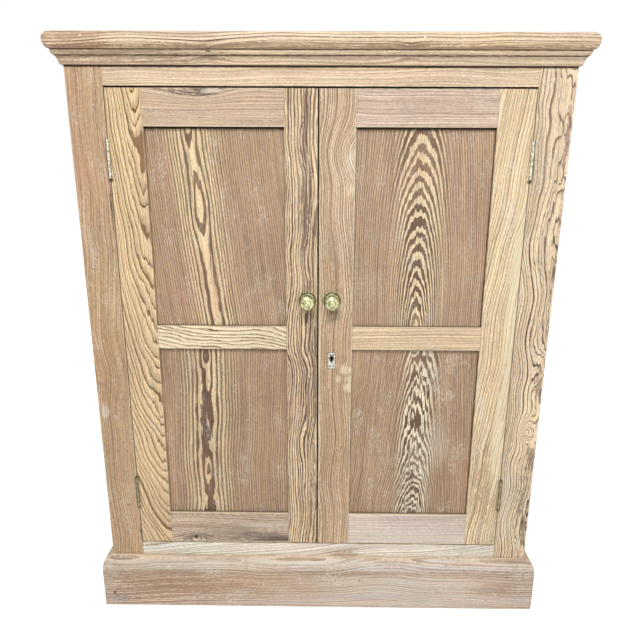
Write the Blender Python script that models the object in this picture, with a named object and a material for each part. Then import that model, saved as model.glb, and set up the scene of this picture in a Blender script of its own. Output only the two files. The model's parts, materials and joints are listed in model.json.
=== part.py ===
"""Larder cupboard of old pine.

A boarded carcass with a tenoned face frame carries two framed and panelled doors on butt hinges.
The right door locks into the left one, and a small bolt holds the left door to the head of the case.

Metres, +Z up. The cupboard stands on z = 0, faces -Y, and is centred on the origin in plan.
"""

import math
from types import SimpleNamespace

import bmesh
import bpy
from mathutils import Vector

# Clearances between pieces that touch on the real cupboard.
FIT = 0.0003
JOINT_CLEARANCE = 0.0003
GROOVE_CLEARANCE = 0.0004

# Carcass: width and depth over the boards, and the heights that show from the floor up.
CARCASS_WIDTH = 1.000
CARCASS_DEPTH = 0.455
PLINTH_HEIGHT = 0.132
BOTTOM_RAIL_SIGHT = 0.032
OPENING_HEIGHT = 1.034
TOP_RAIL_SIGHT = 0.0382
BED_MOULD_HEIGHT = 0.0263
TOP_BOARD_THICKNESS = 0.0315
SIDE_THICKNESS = 0.020
FLOOR_THICKNESS = 0.020
FLOOR_STEP = 0.010
FLOOR_HOUSING = 0.006

# Face frame of two stiles and two tenoned rails.
FRAME_THICKNESS = 0.022
FRAME_STILE_WIDTH = 0.073
BOTTOM_RAIL_HIDDEN = 0.030
FRAME_TENON_LENGTH = 0.030
FRAME_TENON_THICKNESS = 0.008
FRAME_TENON_SHOULDER = 0.008

# Top board: half-round nose over a flat half-oval, worked on the front and both ends.
TOP_PROJECTION = 0.0265
NOSE_RADIUS = 0.0145
NOSE_UNDERCUT = 0.008

# Bed mould under the top board: an ovolo, a fillet and a splay that is slightly hollow.
MOULD_FOOT = 0.0053
SPLAY_PROJECTION = 0.0106
SPLAY_HEIGHT = 0.0148
SPLAY_HOLLOW = 0.5
SPLAY_STEPS = 5
FILLET_STEP = 0.0016
FILLET_HEIGHT = 0.0012
OVOLO_PROJECTION = 0.0170
MOULD_CAP = 0.0015

# Plinth with a rounded-over top.
PLINTH_PROJECTION = 0.022
PLINTH_FLAT = 0.008
PLINTH_ROUND_HEIGHT = 0.038

# Back of tongued and grooved boards, let into rebates in the sides.
BACK_BOARD_COUNT = 4
BACK_THICKNESS = 0.012
BACK_REBATE = 0.010
BOARD_GAP = 0.0008
TONGUE_LENGTH = 0.005
TONGUE_THICKNESS = 0.004

# Shelves on bearers.
SHELF_THICKNESS = 0.018
SHELF_SET_BACK = 0.030
SHELF_SIDE_PLAY = 0.0008
SHELF_TOPS = {"lower_shelf": 0.450, "middle_shelf": 0.715, "upper_shelf": 0.985}
BEARER_SIZE = 0.020

# Strip behind the top rail that the doors close against.
STOP_LAP = 0.010
STOP_HEIGHT = 0.040
STOP_THICKNESS = 0.020
STOP_OVERRUN = 0.030

# Doors. The meeting line lies a little left of the middle.
DOOR_THICKNESS = 0.0215
DOOR_SIDE_CLEARANCE = 0.002
DOOR_TOP_CLEARANCE = 0.0025
DOOR_BOTTOM_CLEARANCE = 0.003
MEETING_OFFSET = -0.0024
MEETING_GAP = 0.0025
MEETING_ARRIS = 0.0025
HINGE_STILE_WIDTH = 0.072
LEFT_MEETING_STILE_WIDTH = 0.067
RIGHT_MEETING_STILE_WIDTH = 0.074
DOOR_TOP_RAIL = 0.0725
DOOR_MIDDLE_RAIL = 0.0525
DOOR_BOTTOM_RAIL = 0.080
LOWER_PANEL_SIGHT = 0.411

# Panels in grooves, and the tenons of the door rails.
PANEL_THICKNESS = 0.008
PANEL_RECESS = 0.008
GROOVE_DEPTH = 0.010
PANEL_PLAY = 0.0015
TENON_LENGTH = 0.035
TENON_THICKNESS = 0.008
TENON_EASE = 0.0005
HAUNCH_DROP = 0.015
TENON_ROOT = 0.006

# Butt hinges, whose knuckles stand just clear of the cupboard's face.
HINGE_LENGTH = 0.076
HINGE_LEAF_REACH = 0.022
HINGE_LEAF_THICKNESS = 0.0016
HINGE_LEAF_GAP = 0.0004
KNUCKLE_COUNT = 5
KNUCKLE_RADIUS = 0.0036
KNUCKLE_STAND_OFF = 0.0004
HINGE_PIN_RADIUS = 0.0014
PIN_END_INSET = 0.0002
HINGE_DROP = 0.1355
HINGE_RISE = 0.137
HINGE_SCREW_SPACING = 0.026
SCREW_HEAD_RADIUS = 0.0031
SCREW_HOLE_RADIUS = 0.0018
SCREW_HOLE_SIDES = 8
KNUCKLE_SIDES = 16

# Brass knobs on round roses, one on each meeting stile.
KNOB_X = {"left": -0.0248, "right": 0.0280}
KNOB_RISE = 0.601
KNOB_PROJECTION = 0.036
KNOB_RADIUS = 0.0165
KNOB_WAIST_OUT = 0.0225
KNOB_BACK_DEPTH = 0.0095
KNOB_FRONT_DEPTH = 0.0105
KNOB_BOSS_RADIUS = 0.0078
KNOB_BOSS_HEIGHT = 0.005
KNOB_NECK_RADIUS = 0.0065
KNOB_NECK_LENGTH = 0.010
KNOB_SPIGOT_RADIUS = 0.0035
KNOB_SPIGOT_LENGTH = 0.012
KNOB_SIDES = 32
ROSE_RADIUS = 0.019
ROSE_THICKNESS = 0.003
ROSE_RIM_HEIGHT = 0.0012
ROSE_RIM_ROUND = 0.0012
ROSE_STEP_INSET = 0.0034

# Keyhole, its plate and the cupboard lock behind it.
KEYHOLE_X = 0.0284
KEYHOLE_RISE = 0.471
KEYHOLE_RADIUS = 0.0042
KEYHOLE_SLOT = 0.0032
KEYHOLE_DROP = 0.010
ESCUTCHEON_WIDTH = 0.017
ESCUTCHEON_HEIGHT = 0.0387
ESCUTCHEON_THICKNESS = 0.001
ESCUTCHEON_CHAMFER = 0.0004
ESCUTCHEON_RISE = -0.005
LOCK_EDGE_INSET = 0.0005
LOCK_WIDTH = 0.058
LOCK_BELOW = 0.022
LOCK_ABOVE = 0.024
LOCK_DEPTH = 0.012
LOCK_WALL = 0.0025
KEY_CHAMBER_RADIUS = 0.0095
KEY_CHAMBER_DEPTH = 0.0095
DRILL_PIN_RADIUS = 0.0012
DRILL_PIN_END_GAP = 0.001
LOCK_BOLT_TRAVEL = 0.010
LOCK_BOLT_THICKNESS = 0.005
LOCK_BOLT_HEAD = 0.014
LOCK_BOLT_BELOW = 0.006
LOCK_BOLT_ABOVE = 0.017
LOCK_TAIL_BELOW = 0.006
LOCK_BOLT_LENGTH = 0.044
TALON_WIDTH = 0.006
TALON_DEPTH = 0.003
KEEP_INSET = 0.001
KEEP_WALL = 0.004
KEEP_CLEARANCE = 0.0008

# Barrel bolt at the head of the left meeting stile.
BOLT_ROD_RADIUS = 0.0032
BOLT_TRAVEL = 0.014
BOLT_TIP_CLEARANCE = 0.003
BOLT_TIP_PROUD = 0.002
BOLT_PLATE_WIDTH = 0.022
BOLT_PLATE_THICKNESS = 0.0015
BOLT_GUIDE_HEIGHT = 0.010
BOLT_GUIDE_WIDTH = 0.013
BOLT_GUIDE_WALL = 0.0022
BOLT_STUD_RADIUS = 0.003
BOLT_STUD_LENGTH = 0.009
BOLT_END_PLAY = 0.0005
BOLT_TAIL = 0.003
ROD_CLEARANCE = 0.0004
ROD_SIDES = 12

# Finishes as base colour, roughness and metallic value.
RED_PINE = ((0.46, 0.30, 0.19), 0.62, 0.0)
PALE_PINE = ((0.58, 0.44, 0.28), 0.60, 0.0)
BROWN_PINE = ((0.38, 0.26, 0.17), 0.64, 0.0)
GREY_PINE = ((0.45, 0.34, 0.25), 0.68, 0.0)
DEAL = ((0.42, 0.29, 0.18), 0.75, 0.0)
AGED_BRASS = ((0.62, 0.55, 0.26), 0.32, 1.0)
BRIGHT_STEEL = ((0.62, 0.60, 0.55), 0.34, 1.0)
DULL_STEEL = ((0.42, 0.41, 0.38), 0.45, 1.0)
BLACK_IRON = ((0.10, 0.09, 0.08), 0.55, 1.0)

# Planes and levels that several pieces share.
HALF_WIDTH = CARCASS_WIDTH / 2
FRONT = (KNOB_PROJECTION - CARCASS_DEPTH) / 2
BACK = FRONT + CARCASS_DEPTH
FRAME_BACK = FRONT + FRAME_THICKNESS
BACK_BOARD_FACE = BACK - BACK_THICKNESS
OPENING_BOTTOM = PLINTH_HEIGHT + BOTTOM_RAIL_SIGHT
OPENING_TOP = OPENING_BOTTOM + OPENING_HEIGHT
CARCASS_TOP = OPENING_TOP + TOP_RAIL_SIGHT + BED_MOULD_HEIGHT
OPENING_HALF = HALF_WIDTH - FRAME_STILE_WIDTH
FLOOR_TOP = OPENING_BOTTOM + FLOOR_STEP
FLOOR_UNDERSIDE = FLOOR_TOP - FLOOR_THICKNESS
STOP_BOTTOM = OPENING_TOP - STOP_LAP

DOOR_BOTTOM = OPENING_BOTTOM + DOOR_BOTTOM_CLEARANCE
DOOR_TOP = OPENING_TOP - DOOR_TOP_CLEARANCE
DOOR_EDGE = OPENING_HALF - DOOR_SIDE_CLEARANCE
DOOR_BACK = FRONT + DOOR_THICKNESS
PANEL_MIDDLE = FRONT + PANEL_RECESS + PANEL_THICKNESS / 2
GROOVE_HALF = PANEL_THICKNESS / 2 + GROOVE_CLEARANCE
GROOVE_FRONT = PANEL_MIDDLE - GROOVE_HALF
GROOVE_BACK = PANEL_MIDDLE + GROOVE_HALF
BOTTOM_RAIL_TOP = DOOR_BOTTOM + DOOR_BOTTOM_RAIL
MIDDLE_RAIL_BOTTOM = BOTTOM_RAIL_TOP + LOWER_PANEL_SIGHT
MIDDLE_RAIL_TOP = MIDDLE_RAIL_BOTTOM + DOOR_MIDDLE_RAIL
TOP_RAIL_BOTTOM = DOOR_TOP - DOOR_TOP_RAIL

HINGE_AXIS_X = OPENING_HALF - DOOR_SIDE_CLEARANCE / 2
HINGE_AXIS_Y = FRONT - KNUCKLE_RADIUS - KNUCKLE_STAND_OFF
HINGE_LEVELS = {"upper": DOOR_TOP - HINGE_DROP, "lower": DOOR_BOTTOM + HINGE_RISE}
LEAF_INNER = HINGE_LEAF_GAP / 2
LEAF_OUTER = LEAF_INNER + HINGE_LEAF_THICKNESS
LEAF_END = HINGE_AXIS_Y + HINGE_LEAF_REACH

KNOB_Z = DOOR_BOTTOM + KNOB_RISE
KEYHOLE_Z = DOOR_BOTTOM + KEYHOLE_RISE
LOCK_FACE = DOOR_BACK + FIT
LOCK_BOLT_FRONT = LOCK_FACE + LOCK_WALL + FIT
LOCK_BOLT_BACK = LOCK_BOLT_FRONT + LOCK_BOLT_THICKNESS

BOLT_TIP = STOP_BOTTOM - BOLT_TIP_CLEARANCE
BOLT_PLATE_TOP = BOLT_TIP - BOLT_TIP_PROUD
BOLT_PLATE_LENGTH = 2 * (BOLT_GUIDE_HEIGHT + BOLT_STUD_RADIUS + BOLT_END_PLAY) + BOLT_TRAVEL
BOLT_PLATE_BOTTOM = BOLT_PLATE_TOP - BOLT_PLATE_LENGTH
BOLT_PLATE_FACE = DOOR_BACK + FIT + BOLT_PLATE_THICKNESS
BOLT_AXIS_Y = BOLT_PLATE_FACE + 2 * ROD_CLEARANCE + BOLT_ROD_RADIUS


def clear_scene():
    for item in list(bpy.data.objects):
        bpy.data.objects.remove(item, do_unlink=True)


def make_material(name, finish):
    colour, roughness, metallic = finish
    made = bpy.data.materials.new(name)
    made.use_nodes = True
    shader = made.node_tree.nodes["Principled BSDF"]
    shader.inputs["Base Color"].default_value = (*colour, 1.0)
    shader.inputs["Roughness"].default_value = roughness
    shader.inputs["Metallic"].default_value = metallic
    made.diffuse_color = (*colour, 1.0)
    return made


def arc(centre, radii, start, end, steps):
    """Points of an elliptical arc, with its angles in degrees."""
    points = []
    for step in range(steps + 1):
        angle = math.radians(start + (end - start) * step / steps)
        points.append((centre[0] + radii[0] * math.cos(angle), centre[1] + radii[1] * math.sin(angle)))
    return points


def add_loft(bm, sections, closed=False):
    """Skin a solid through matching loops of points: capped at both ends, or run round to the first."""
    rings = [[bm.verts.new(point) for point in section] for section in sections]
    following = rings[1:] + rings[:1] if closed else rings[1:]
    for near, far in zip(rings, following):
        for index in range(len(near)):
            after = (index + 1) % len(near)
            bm.faces.new((near[index], near[after], far[after], far[index]))
    if not closed:
        bm.faces.new(rings[0])
        bm.faces.new(rings[-1])


def add_prism(bm, outline, axis, start, end):
    """Extrude an outline along an axis. It is drawn in the other two axes, in X, Y, Z order."""
    place = {
        "X": lambda u, v, along: (along, u, v),
        "Y": lambda u, v, along: (u, along, v),
        "Z": lambda u, v, along: (u, v, along),
    }[axis]
    add_loft(bm, [[place(u, v, along) for u, v in outline] for along in (start, end)])


def add_box(bm, x, y, z):
    """A box between pairs of planes, given in either order."""
    add_prism(bm, [(x[0], y[0]), (x[1], y[0]), (x[1], y[1]), (x[0], y[1])], "Z", z[0], z[1])


def add_turning(bm, profile, origin, direction, sides, closed=False):
    """Turn a profile of (radius, distance) points about a line through origin."""
    turn = Vector((0, 0, 1)).rotation_difference(Vector(direction))
    sections = []
    for radius, distance in profile:
        ring = [(x, y, distance) for x, y in arc((0, 0), (radius, radius), 0, 360, sides)[:-1]]
        sections.append([Vector(origin) + turn @ Vector(point) for point in ring])
    add_loft(bm, sections, closed)


def add_rod(bm, radius, origin, direction, length, sides):
    add_turning(bm, [(radius, 0), (radius, length)], origin, direction, sides)


def solid_mesh(name, bm, anchor):
    """Close a bmesh into a mesh whose coordinates are counted from anchor."""
    bmesh.ops.recalc_face_normals(bm, faces=bm.faces)
    bmesh.ops.translate(bm, verts=bm.verts, vec=-anchor)
    mesh = bpy.data.meshes.new(name)
    bm.to_mesh(mesh)
    bm.free()
    return mesh


def add_piece(name, bm, finish, anchor=None, pivot=None, smooth=False):
    """Make one named piece. Its origin is anchor, or else the middle of its own box."""
    if anchor is None:
        corners = [[pick(vert.co[i] for vert in bm.verts) for i in range(3)] for pick in (min, max)]
        anchor = (Vector(corners[0]) + Vector(corners[1])) / 2
    anchor = Vector(anchor)
    mesh = solid_mesh(name, bm, anchor)
    if smooth:
        mesh.shade_smooth()
        mesh.set_sharp_from_angle(angle=math.radians(35))
    mesh.materials.append(make_material(name + "_finish", finish))
    piece = bpy.data.objects.new(name, mesh)
    piece.location = anchor
    if pivot is not None:
        piece.parent = pivot
        piece.location = anchor - pivot.location
    bpy.context.scene.collection.objects.link(piece)
    piece["anchor"] = anchor
    return piece


def shape_with(piece, bm, operation, label):
    """Cut a piece with other solids, or join them to it, by a Boolean modifier."""
    mesh = solid_mesh(piece.name + "_" + label, bm, Vector(piece["anchor"]))
    tool = bpy.data.objects.new(mesh.name, mesh)
    tool.parent = piece
    tool.hide_render = True
    tool.display_type = "WIRE"
    bpy.context.scene.collection.objects.link(tool)
    modifier = piece.modifiers.new(label, "BOOLEAN")
    modifier.operation = operation
    modifier.solver = "EXACT"
    modifier.object = tool


def cut(piece, bm, label="cut"):
    shape_with(piece, bm, "DIFFERENCE", label)


def join(piece, bm, label="joined"):
    shape_with(piece, bm, "UNION", label)


def add_pivot(name, location):
    pivot = bpy.data.objects.new(name, None)
    pivot.location = location
    pivot.empty_display_size = HINGE_LENGTH
    bpy.context.scene.collection.objects.link(pivot)
    return pivot


def add_leaf_seats(bm, side, leaf):
    """Recesses in the wood for one leaf of each hinge of a door."""
    outwards = side if leaf == "frame" else -side
    axis_x = side * HINGE_AXIS_X
    floor_x = axis_x + outwards * (LEAF_OUTER + FIT)
    half = HINGE_LENGTH / 2 + FIT
    for level in HINGE_LEVELS.values():
        add_box(bm, (axis_x, floor_x), (FRONT - FIT, LEAF_END + FIT), (level - half, level + half))


def build_frame():
    """Face frame: stiles to the floor, a deep head rail and a rail behind the plinth's top edge."""
    rails = {
        "frame_top_rail": (OPENING_TOP, CARCASS_TOP - FIT),
        "frame_bottom_rail": (OPENING_BOTTOM - BOTTOM_RAIL_SIGHT - BOTTOM_RAIL_HIDDEN, OPENING_BOTTOM),
    }
    middle = FRONT + FRAME_THICKNESS / 2
    half = FRAME_TENON_THICKNESS / 2
    for name, (low, high) in rails.items():
        bm = bmesh.new()
        shoulder = OPENING_HALF - FIT
        add_box(bm, (-shoulder, shoulder), (FRONT, FRAME_BACK), (low, high))
        rail = add_piece(name, bm, PALE_PINE)
        tenons = bmesh.new()
        for side in (-1, 1):
            root = side * (OPENING_HALF - TENON_ROOT)
            tip = side * (OPENING_HALF + FRAME_TENON_LENGTH)
            levels = (low + FRAME_TENON_SHOULDER, high - FRAME_TENON_SHOULDER)
            add_box(tenons, (root, tip), (middle - half, middle + half), levels)
        join(rail, tenons, "tenons")

    for name, side, finish in (("left", -1, RED_PINE), ("right", 1, BROWN_PINE)):
        bm = bmesh.new()
        outer = side * HALF_WIDTH
        inner = side * OPENING_HALF
        add_box(bm, (outer, inner), (FRONT, FRAME_BACK), (0, CARCASS_TOP - FIT))
        stile = add_piece(f"frame_{name}_stile", bm, finish)
        grown = half + JOINT_CLEARANCE
        mortises = bmesh.new()
        for low, high in rails.values():
            mouth = inner - side * TENON_ROOT
            floor = inner + side * (FRAME_TENON_LENGTH + JOINT_CLEARANCE)
            bottom = low + FRAME_TENON_SHOULDER - JOINT_CLEARANCE
            top = high - FRAME_TENON_SHOULDER + JOINT_CLEARANCE
            add_box(mortises, (mouth, floor), (middle - grown, middle + grown), (bottom, top))
        cut(stile, mortises, "mortises")
        seats = bmesh.new()
        add_leaf_seats(seats, side, "frame")
        cut(stile, seats, "hinge_seats")


def build_sides_and_floor():
    rebate_floor = BACK_BOARD_FACE - FIT
    for name, side in (("left_side", -1), ("right_side", 1)):
        outer = side * HALF_WIDTH
        inner = side * (HALF_WIDTH - SIDE_THICKNESS)
        rebate = inner + side * BACK_REBATE
        housing = inner + side * FLOOR_HOUSING
        front = FRAME_BACK + FIT
        outline = [(outer, front), (inner, front), (inner, rebate_floor)]
        outline += [(rebate, rebate_floor), (rebate, BACK), (outer, BACK)]
        bm = bmesh.new()
        add_prism(bm, outline, "Z", 0, CARCASS_TOP - FIT)
        board = add_piece(name, bm, RED_PINE)
        groove = bmesh.new()
        open_side = inner - side * FLOOR_HOUSING
        levels = (FLOOR_UNDERSIDE - JOINT_CLEARANCE, FLOOR_TOP + JOINT_CLEARANCE)
        add_box(groove, (housing, open_side), (FRONT, BACK + FIT), levels)
        cut(board, groove, "floor_housing")

    bm = bmesh.new()
    reach = HALF_WIDTH - SIDE_THICKNESS + FLOOR_HOUSING - JOINT_CLEARANCE
    add_box(bm, (-reach, reach), (FRAME_BACK + FIT, rebate_floor), (FLOOR_UNDERSIDE, FLOOR_TOP))
    add_piece("floor_board", bm, DEAL)


def build_back():
    """Upright boards, each with a tongue on its right edge in the next board's groove."""
    edge = HALF_WIDTH - SIDE_THICKNESS + BACK_REBATE - FIT
    pitch = (2 * edge + BOARD_GAP) / BACK_BOARD_COUNT
    middle = BACK - BACK_THICKNESS / 2
    tongue = TONGUE_THICKNESS / 2
    groove = tongue + FIT
    depth = TONGUE_LENGTH - BOARD_GAP + FIT
    for number in range(BACK_BOARD_COUNT):
        left = -edge + number * pitch
        right = left + pitch - BOARD_GAP
        outline = [(left, BACK), (left, BACK_BOARD_FACE), (right, BACK_BOARD_FACE)]
        if number < BACK_BOARD_COUNT - 1:
            tip = right + TONGUE_LENGTH
            outline += [(right, middle - tongue), (tip, middle - tongue)]
            outline += [(tip, middle + tongue), (right, middle + tongue)]
        outline.append((right, BACK))
        if number > 0:
            notch = [(left, middle + groove), (left + depth, middle + groove)]
            notch += [(left + depth, middle - groove), (left, middle - groove)]
            outline[1:1] = notch
        bm = bmesh.new()
        add_prism(bm, outline, "Z", FLOOR_UNDERSIDE, CARCASS_TOP - FIT)
        add_piece(f"back_board_{number + 1}", bm, DEAL)


def build_shelves():
    front = FRAME_BACK + SHELF_SET_BACK
    back = BACK_BOARD_FACE - FIT
    inner = HALF_WIDTH - SIDE_THICKNESS
    for name, top in SHELF_TOPS.items():
        bm = bmesh.new()
        reach = inner - SHELF_SIDE_PLAY
        add_box(bm, (-reach, reach), (front, back), (top - SHELF_THICKNESS, top))
        add_piece(name, bm, DEAL)
        for hand, side in (("left", -1), ("right", 1)):
            wall = side * (inner - FIT)
            face = wall - side * BEARER_SIZE
            bearer_top = top - SHELF_THICKNESS - FIT
            bm = bmesh.new()
            add_box(bm, (wall, face), (front, back), (bearer_top - BEARER_SIZE, bearer_top))
            add_piece(f"{name}_{hand}_bearer", bm, DEAL)


def build_top_stop(bolt_x):
    """Strip behind the head rail that both doors shut against, bored for the left door's bolt."""
    bm = bmesh.new()
    reach = OPENING_HALF + STOP_OVERRUN
    depth = (FRAME_BACK + FIT, FRAME_BACK + FIT + STOP_THICKNESS)
    add_box(bm, (-reach, reach), depth, (STOP_BOTTOM, STOP_BOTTOM + STOP_HEIGHT))
    strip = add_piece("top_stop", bm, DEAL)
    hole = bmesh.new()
    mouth = (bolt_x, BOLT_AXIS_Y, STOP_BOTTOM - FIT)
    rise = BOLT_TRAVEL - BOLT_TIP_CLEARANCE + 2 * BOLT_END_PLAY + FIT
    add_rod(hole, BOLT_ROD_RADIUS + 2 * ROD_CLEARANCE, mouth, (0, 0, 1), rise, ROD_SIDES)
    cut(strip, hole, "bolt_hole")


def build_top_board():
    undercut_height = TOP_BOARD_THICKNESS - NOSE_RADIUS
    nose_centre = TOP_PROJECTION - NOSE_RADIUS
    profile = arc((TOP_PROJECTION - NOSE_UNDERCUT, CARCASS_TOP + undercut_height),
                  (NOSE_UNDERCUT, undercut_height), -90, 0, 6)
    profile += arc((nose_centre, CARCASS_TOP + undercut_height), (NOSE_RADIUS, NOSE_RADIUS), 0, 90, 6)[1:]
    sections = []
    for projection, level in profile:
        edge = HALF_WIDTH + projection
        face = FRONT - projection
        corners = ((-edge, face), (edge, face), (edge, BACK), (-edge, BACK))
        sections.append([(x, y, level) for x, y in corners])
    bm = bmesh.new()
    add_loft(bm, sections)
    add_piece("top_board", bm, PALE_PINE)


def mould_profile():
    """Bed mould as (projection, height) from the foot of its back, round to the back again."""
    fillet = SPLAY_PROJECTION + FILLET_STEP
    spring = SPLAY_HEIGHT + FILLET_HEIGHT
    top = BED_MOULD_HEIGHT - FIT
    profile = [(FIT, 0)]
    for step in range(SPLAY_STEPS + 1):
        rise = step / SPLAY_STEPS
        slope = rise * (1 - SPLAY_HOLLOW + SPLAY_HOLLOW * rise)
        profile.append((MOULD_FOOT + (SPLAY_PROJECTION - MOULD_FOOT) * slope, SPLAY_HEIGHT * rise))
    profile += [(fillet, SPLAY_HEIGHT), (fillet, spring)]
    ovolo = (OVOLO_PROJECTION - fillet, top - MOULD_CAP - spring)
    profile += arc((fillet, top - MOULD_CAP), ovolo, -90, 0, 5)[1:]
    profile += [(OVOLO_PROJECTION, top), (FIT, top)]
    return profile


def plinth_profile():
    """Plinth as (projection, height): plain face with a rounded-over top edge."""
    round_width = PLINTH_PROJECTION - PLINTH_FLAT
    spring = PLINTH_HEIGHT - PLINTH_ROUND_HEIGHT
    profile = [(FIT, 0), (PLINTH_PROJECTION, 0)]
    profile += arc((PLINTH_FLAT, spring), (round_width, PLINTH_ROUND_HEIGHT), 0, 90, 8)
    profile.append((FIT, PLINTH_HEIGHT))
    return profile


def build_mitred_run(prefix, profile, base):
    """Three lengths of one moulding round the front and both sides, mitred at the corners."""
    left_end = [(-(HALF_WIDTH + d - FIT), FRONT - d, base + z) for d, z in profile]
    right_end = [(-x, y, z) for x, y, z in left_end]
    bm = bmesh.new()
    add_loft(bm, [left_end, right_end])
    add_piece(f"{prefix}_front", bm, PALE_PINE)
    for name, side in (("left", -1), ("right", 1)):
        mitre = [(side * (HALF_WIDTH + d), FRONT - d + FIT, base + z) for d, z in profile]
        square = [(x, BACK, z) for x, y, z in mitre]
        bm = bmesh.new()
        add_loft(bm, [mitre, square])
        add_piece(f"{prefix}_{name}", bm, PALE_PINE)


def door_layout(name):
    """Edges and finishes of one door, in x, from its hinge side to its meeting edge."""
    side = -1 if name == "left" else 1
    meeting_width = LEFT_MEETING_STILE_WIDTH if name == "left" else RIGHT_MEETING_STILE_WIDTH
    meeting_edge = MEETING_OFFSET + side * MEETING_GAP / 2
    middle_level = (HINGE_LEVELS["upper"] + HINGE_LEVELS["lower"]) / 2
    return SimpleNamespace(
        name=name,
        side=side,
        hinge_edge=side * DOOR_EDGE,
        hinge_shoulder=side * (DOOR_EDGE - HINGE_STILE_WIDTH),
        meeting_shoulder=meeting_edge + side * meeting_width,
        meeting_edge=meeting_edge,
        pivot=add_pivot(f"{name}_door_pivot", (side * HINGE_AXIS_X, HINGE_AXIS_Y, middle_level)),
    )


def rail_outline(low, high, grooved_below, grooved_above):
    """Cross-section of a door rail in (y, z), with panel grooves in its edges."""
    outline = [(FRONT, low)]
    if grooved_below:
        outline += [(GROOVE_FRONT, low), (GROOVE_FRONT, low + GROOVE_DEPTH)]
        outline += [(GROOVE_BACK, low + GROOVE_DEPTH), (GROOVE_BACK, low)]
    outline += [(DOOR_BACK, low), (DOOR_BACK, high)]
    if grooved_above:
        outline += [(GROOVE_BACK, high), (GROOVE_BACK, high - GROOVE_DEPTH)]
        outline += [(GROOVE_FRONT, high - GROOVE_DEPTH), (GROOVE_FRONT, high)]
    outline.append((FRONT, high))
    return outline


RAILS = {
    "top_rail": SimpleNamespace(low=TOP_RAIL_BOTTOM, high=DOOR_TOP, below=True, above=False),
    "middle_rail": SimpleNamespace(low=MIDDLE_RAIL_BOTTOM, high=MIDDLE_RAIL_TOP, below=True, above=True),
    "bottom_rail": SimpleNamespace(low=DOOR_BOTTOM, high=BOTTOM_RAIL_TOP, below=False, above=True),
}


def tenon_levels(rail):
    """Lowest and highest level of a rail's tenon, between grooves or below a haunch."""
    low = rail.low + (GROOVE_DEPTH + TENON_EASE if rail.below else HAUNCH_DROP)
    high = rail.high - (GROOVE_DEPTH + TENON_EASE if rail.above else HAUNCH_DROP)
    return low, high


def tenon_outline(rail, shoulder, outwards):
    """Tenon at one end of a rail in (x, z), with a haunch that fills the open end of the groove."""
    low, high = tenon_levels(rail)
    root = shoulder - outwards * TENON_ROOT
    haunch = shoulder + outwards * (GROOVE_DEPTH - FIT)
    tip = shoulder + outwards * TENON_LENGTH
    outline = [(root, low), (tip, low), (tip, high), (root, high)]
    if not rail.above:
        outline[3:] = [(haunch, high), (haunch, rail.high - FIT), (root, rail.high - FIT)]
    if not rail.below:
        outline[:1] = [(root, rail.low + FIT), (haunch, rail.low + FIT), (haunch, low)]
    return outline


def build_door_rails(door, finishes):
    half = TENON_THICKNESS / 2
    for name, rail in RAILS.items():
        bm = bmesh.new()
        outline = rail_outline(rail.low, rail.high, rail.below, rail.above)
        start = door.hinge_shoulder - door.side * FIT
        end = door.meeting_shoulder + door.side * FIT
        add_prism(bm, outline, "X", start, end)
        piece = add_piece(f"{door.name}_door_{name}", bm, finishes[name], pivot=door.pivot)
        tenons = bmesh.new()
        for shoulder, outwards in ((door.hinge_shoulder, door.side), (door.meeting_shoulder, -door.side)):
            points = tenon_outline(rail, shoulder, outwards)
            add_prism(tenons, points, "Y", PANEL_MIDDLE - half, PANEL_MIDDLE + half)
        join(piece, tenons, "tenons")


def stile_outline(edge, shoulder, arris):
    """Cross-section of a door stile in (x, y), grooved towards the panels."""
    inwards = 1 if shoulder > edge else -1
    groove_floor = shoulder - inwards * GROOVE_DEPTH
    outline = [(edge, DOOR_BACK)]
    if arris:
        angles = (180, 270) if inwards > 0 else (360, 270)
        outline += arc((edge + inwards * arris, FRONT + arris), (arris, arris), *angles, 4)
    else:
        outline.append((edge, FRONT))
    outline += [(shoulder, FRONT), (shoulder, GROOVE_FRONT), (groove_floor, GROOVE_FRONT)]
    outline += [(groove_floor, GROOVE_BACK), (shoulder, GROOVE_BACK), (shoulder, DOOR_BACK)]
    return outline


def add_mortises(bm, shoulder, outwards):
    half = TENON_THICKNESS / 2 + JOINT_CLEARANCE
    mouth = shoulder + outwards * GROOVE_DEPTH / 2
    floor = shoulder + outwards * (TENON_LENGTH + JOINT_CLEARANCE)
    for rail in RAILS.values():
        low, high = tenon_levels(rail)
        levels = (low - JOINT_CLEARANCE, high + JOINT_CLEARANCE)
        add_box(bm, (mouth, floor), (PANEL_MIDDLE - half, PANEL_MIDDLE + half), levels)


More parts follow.
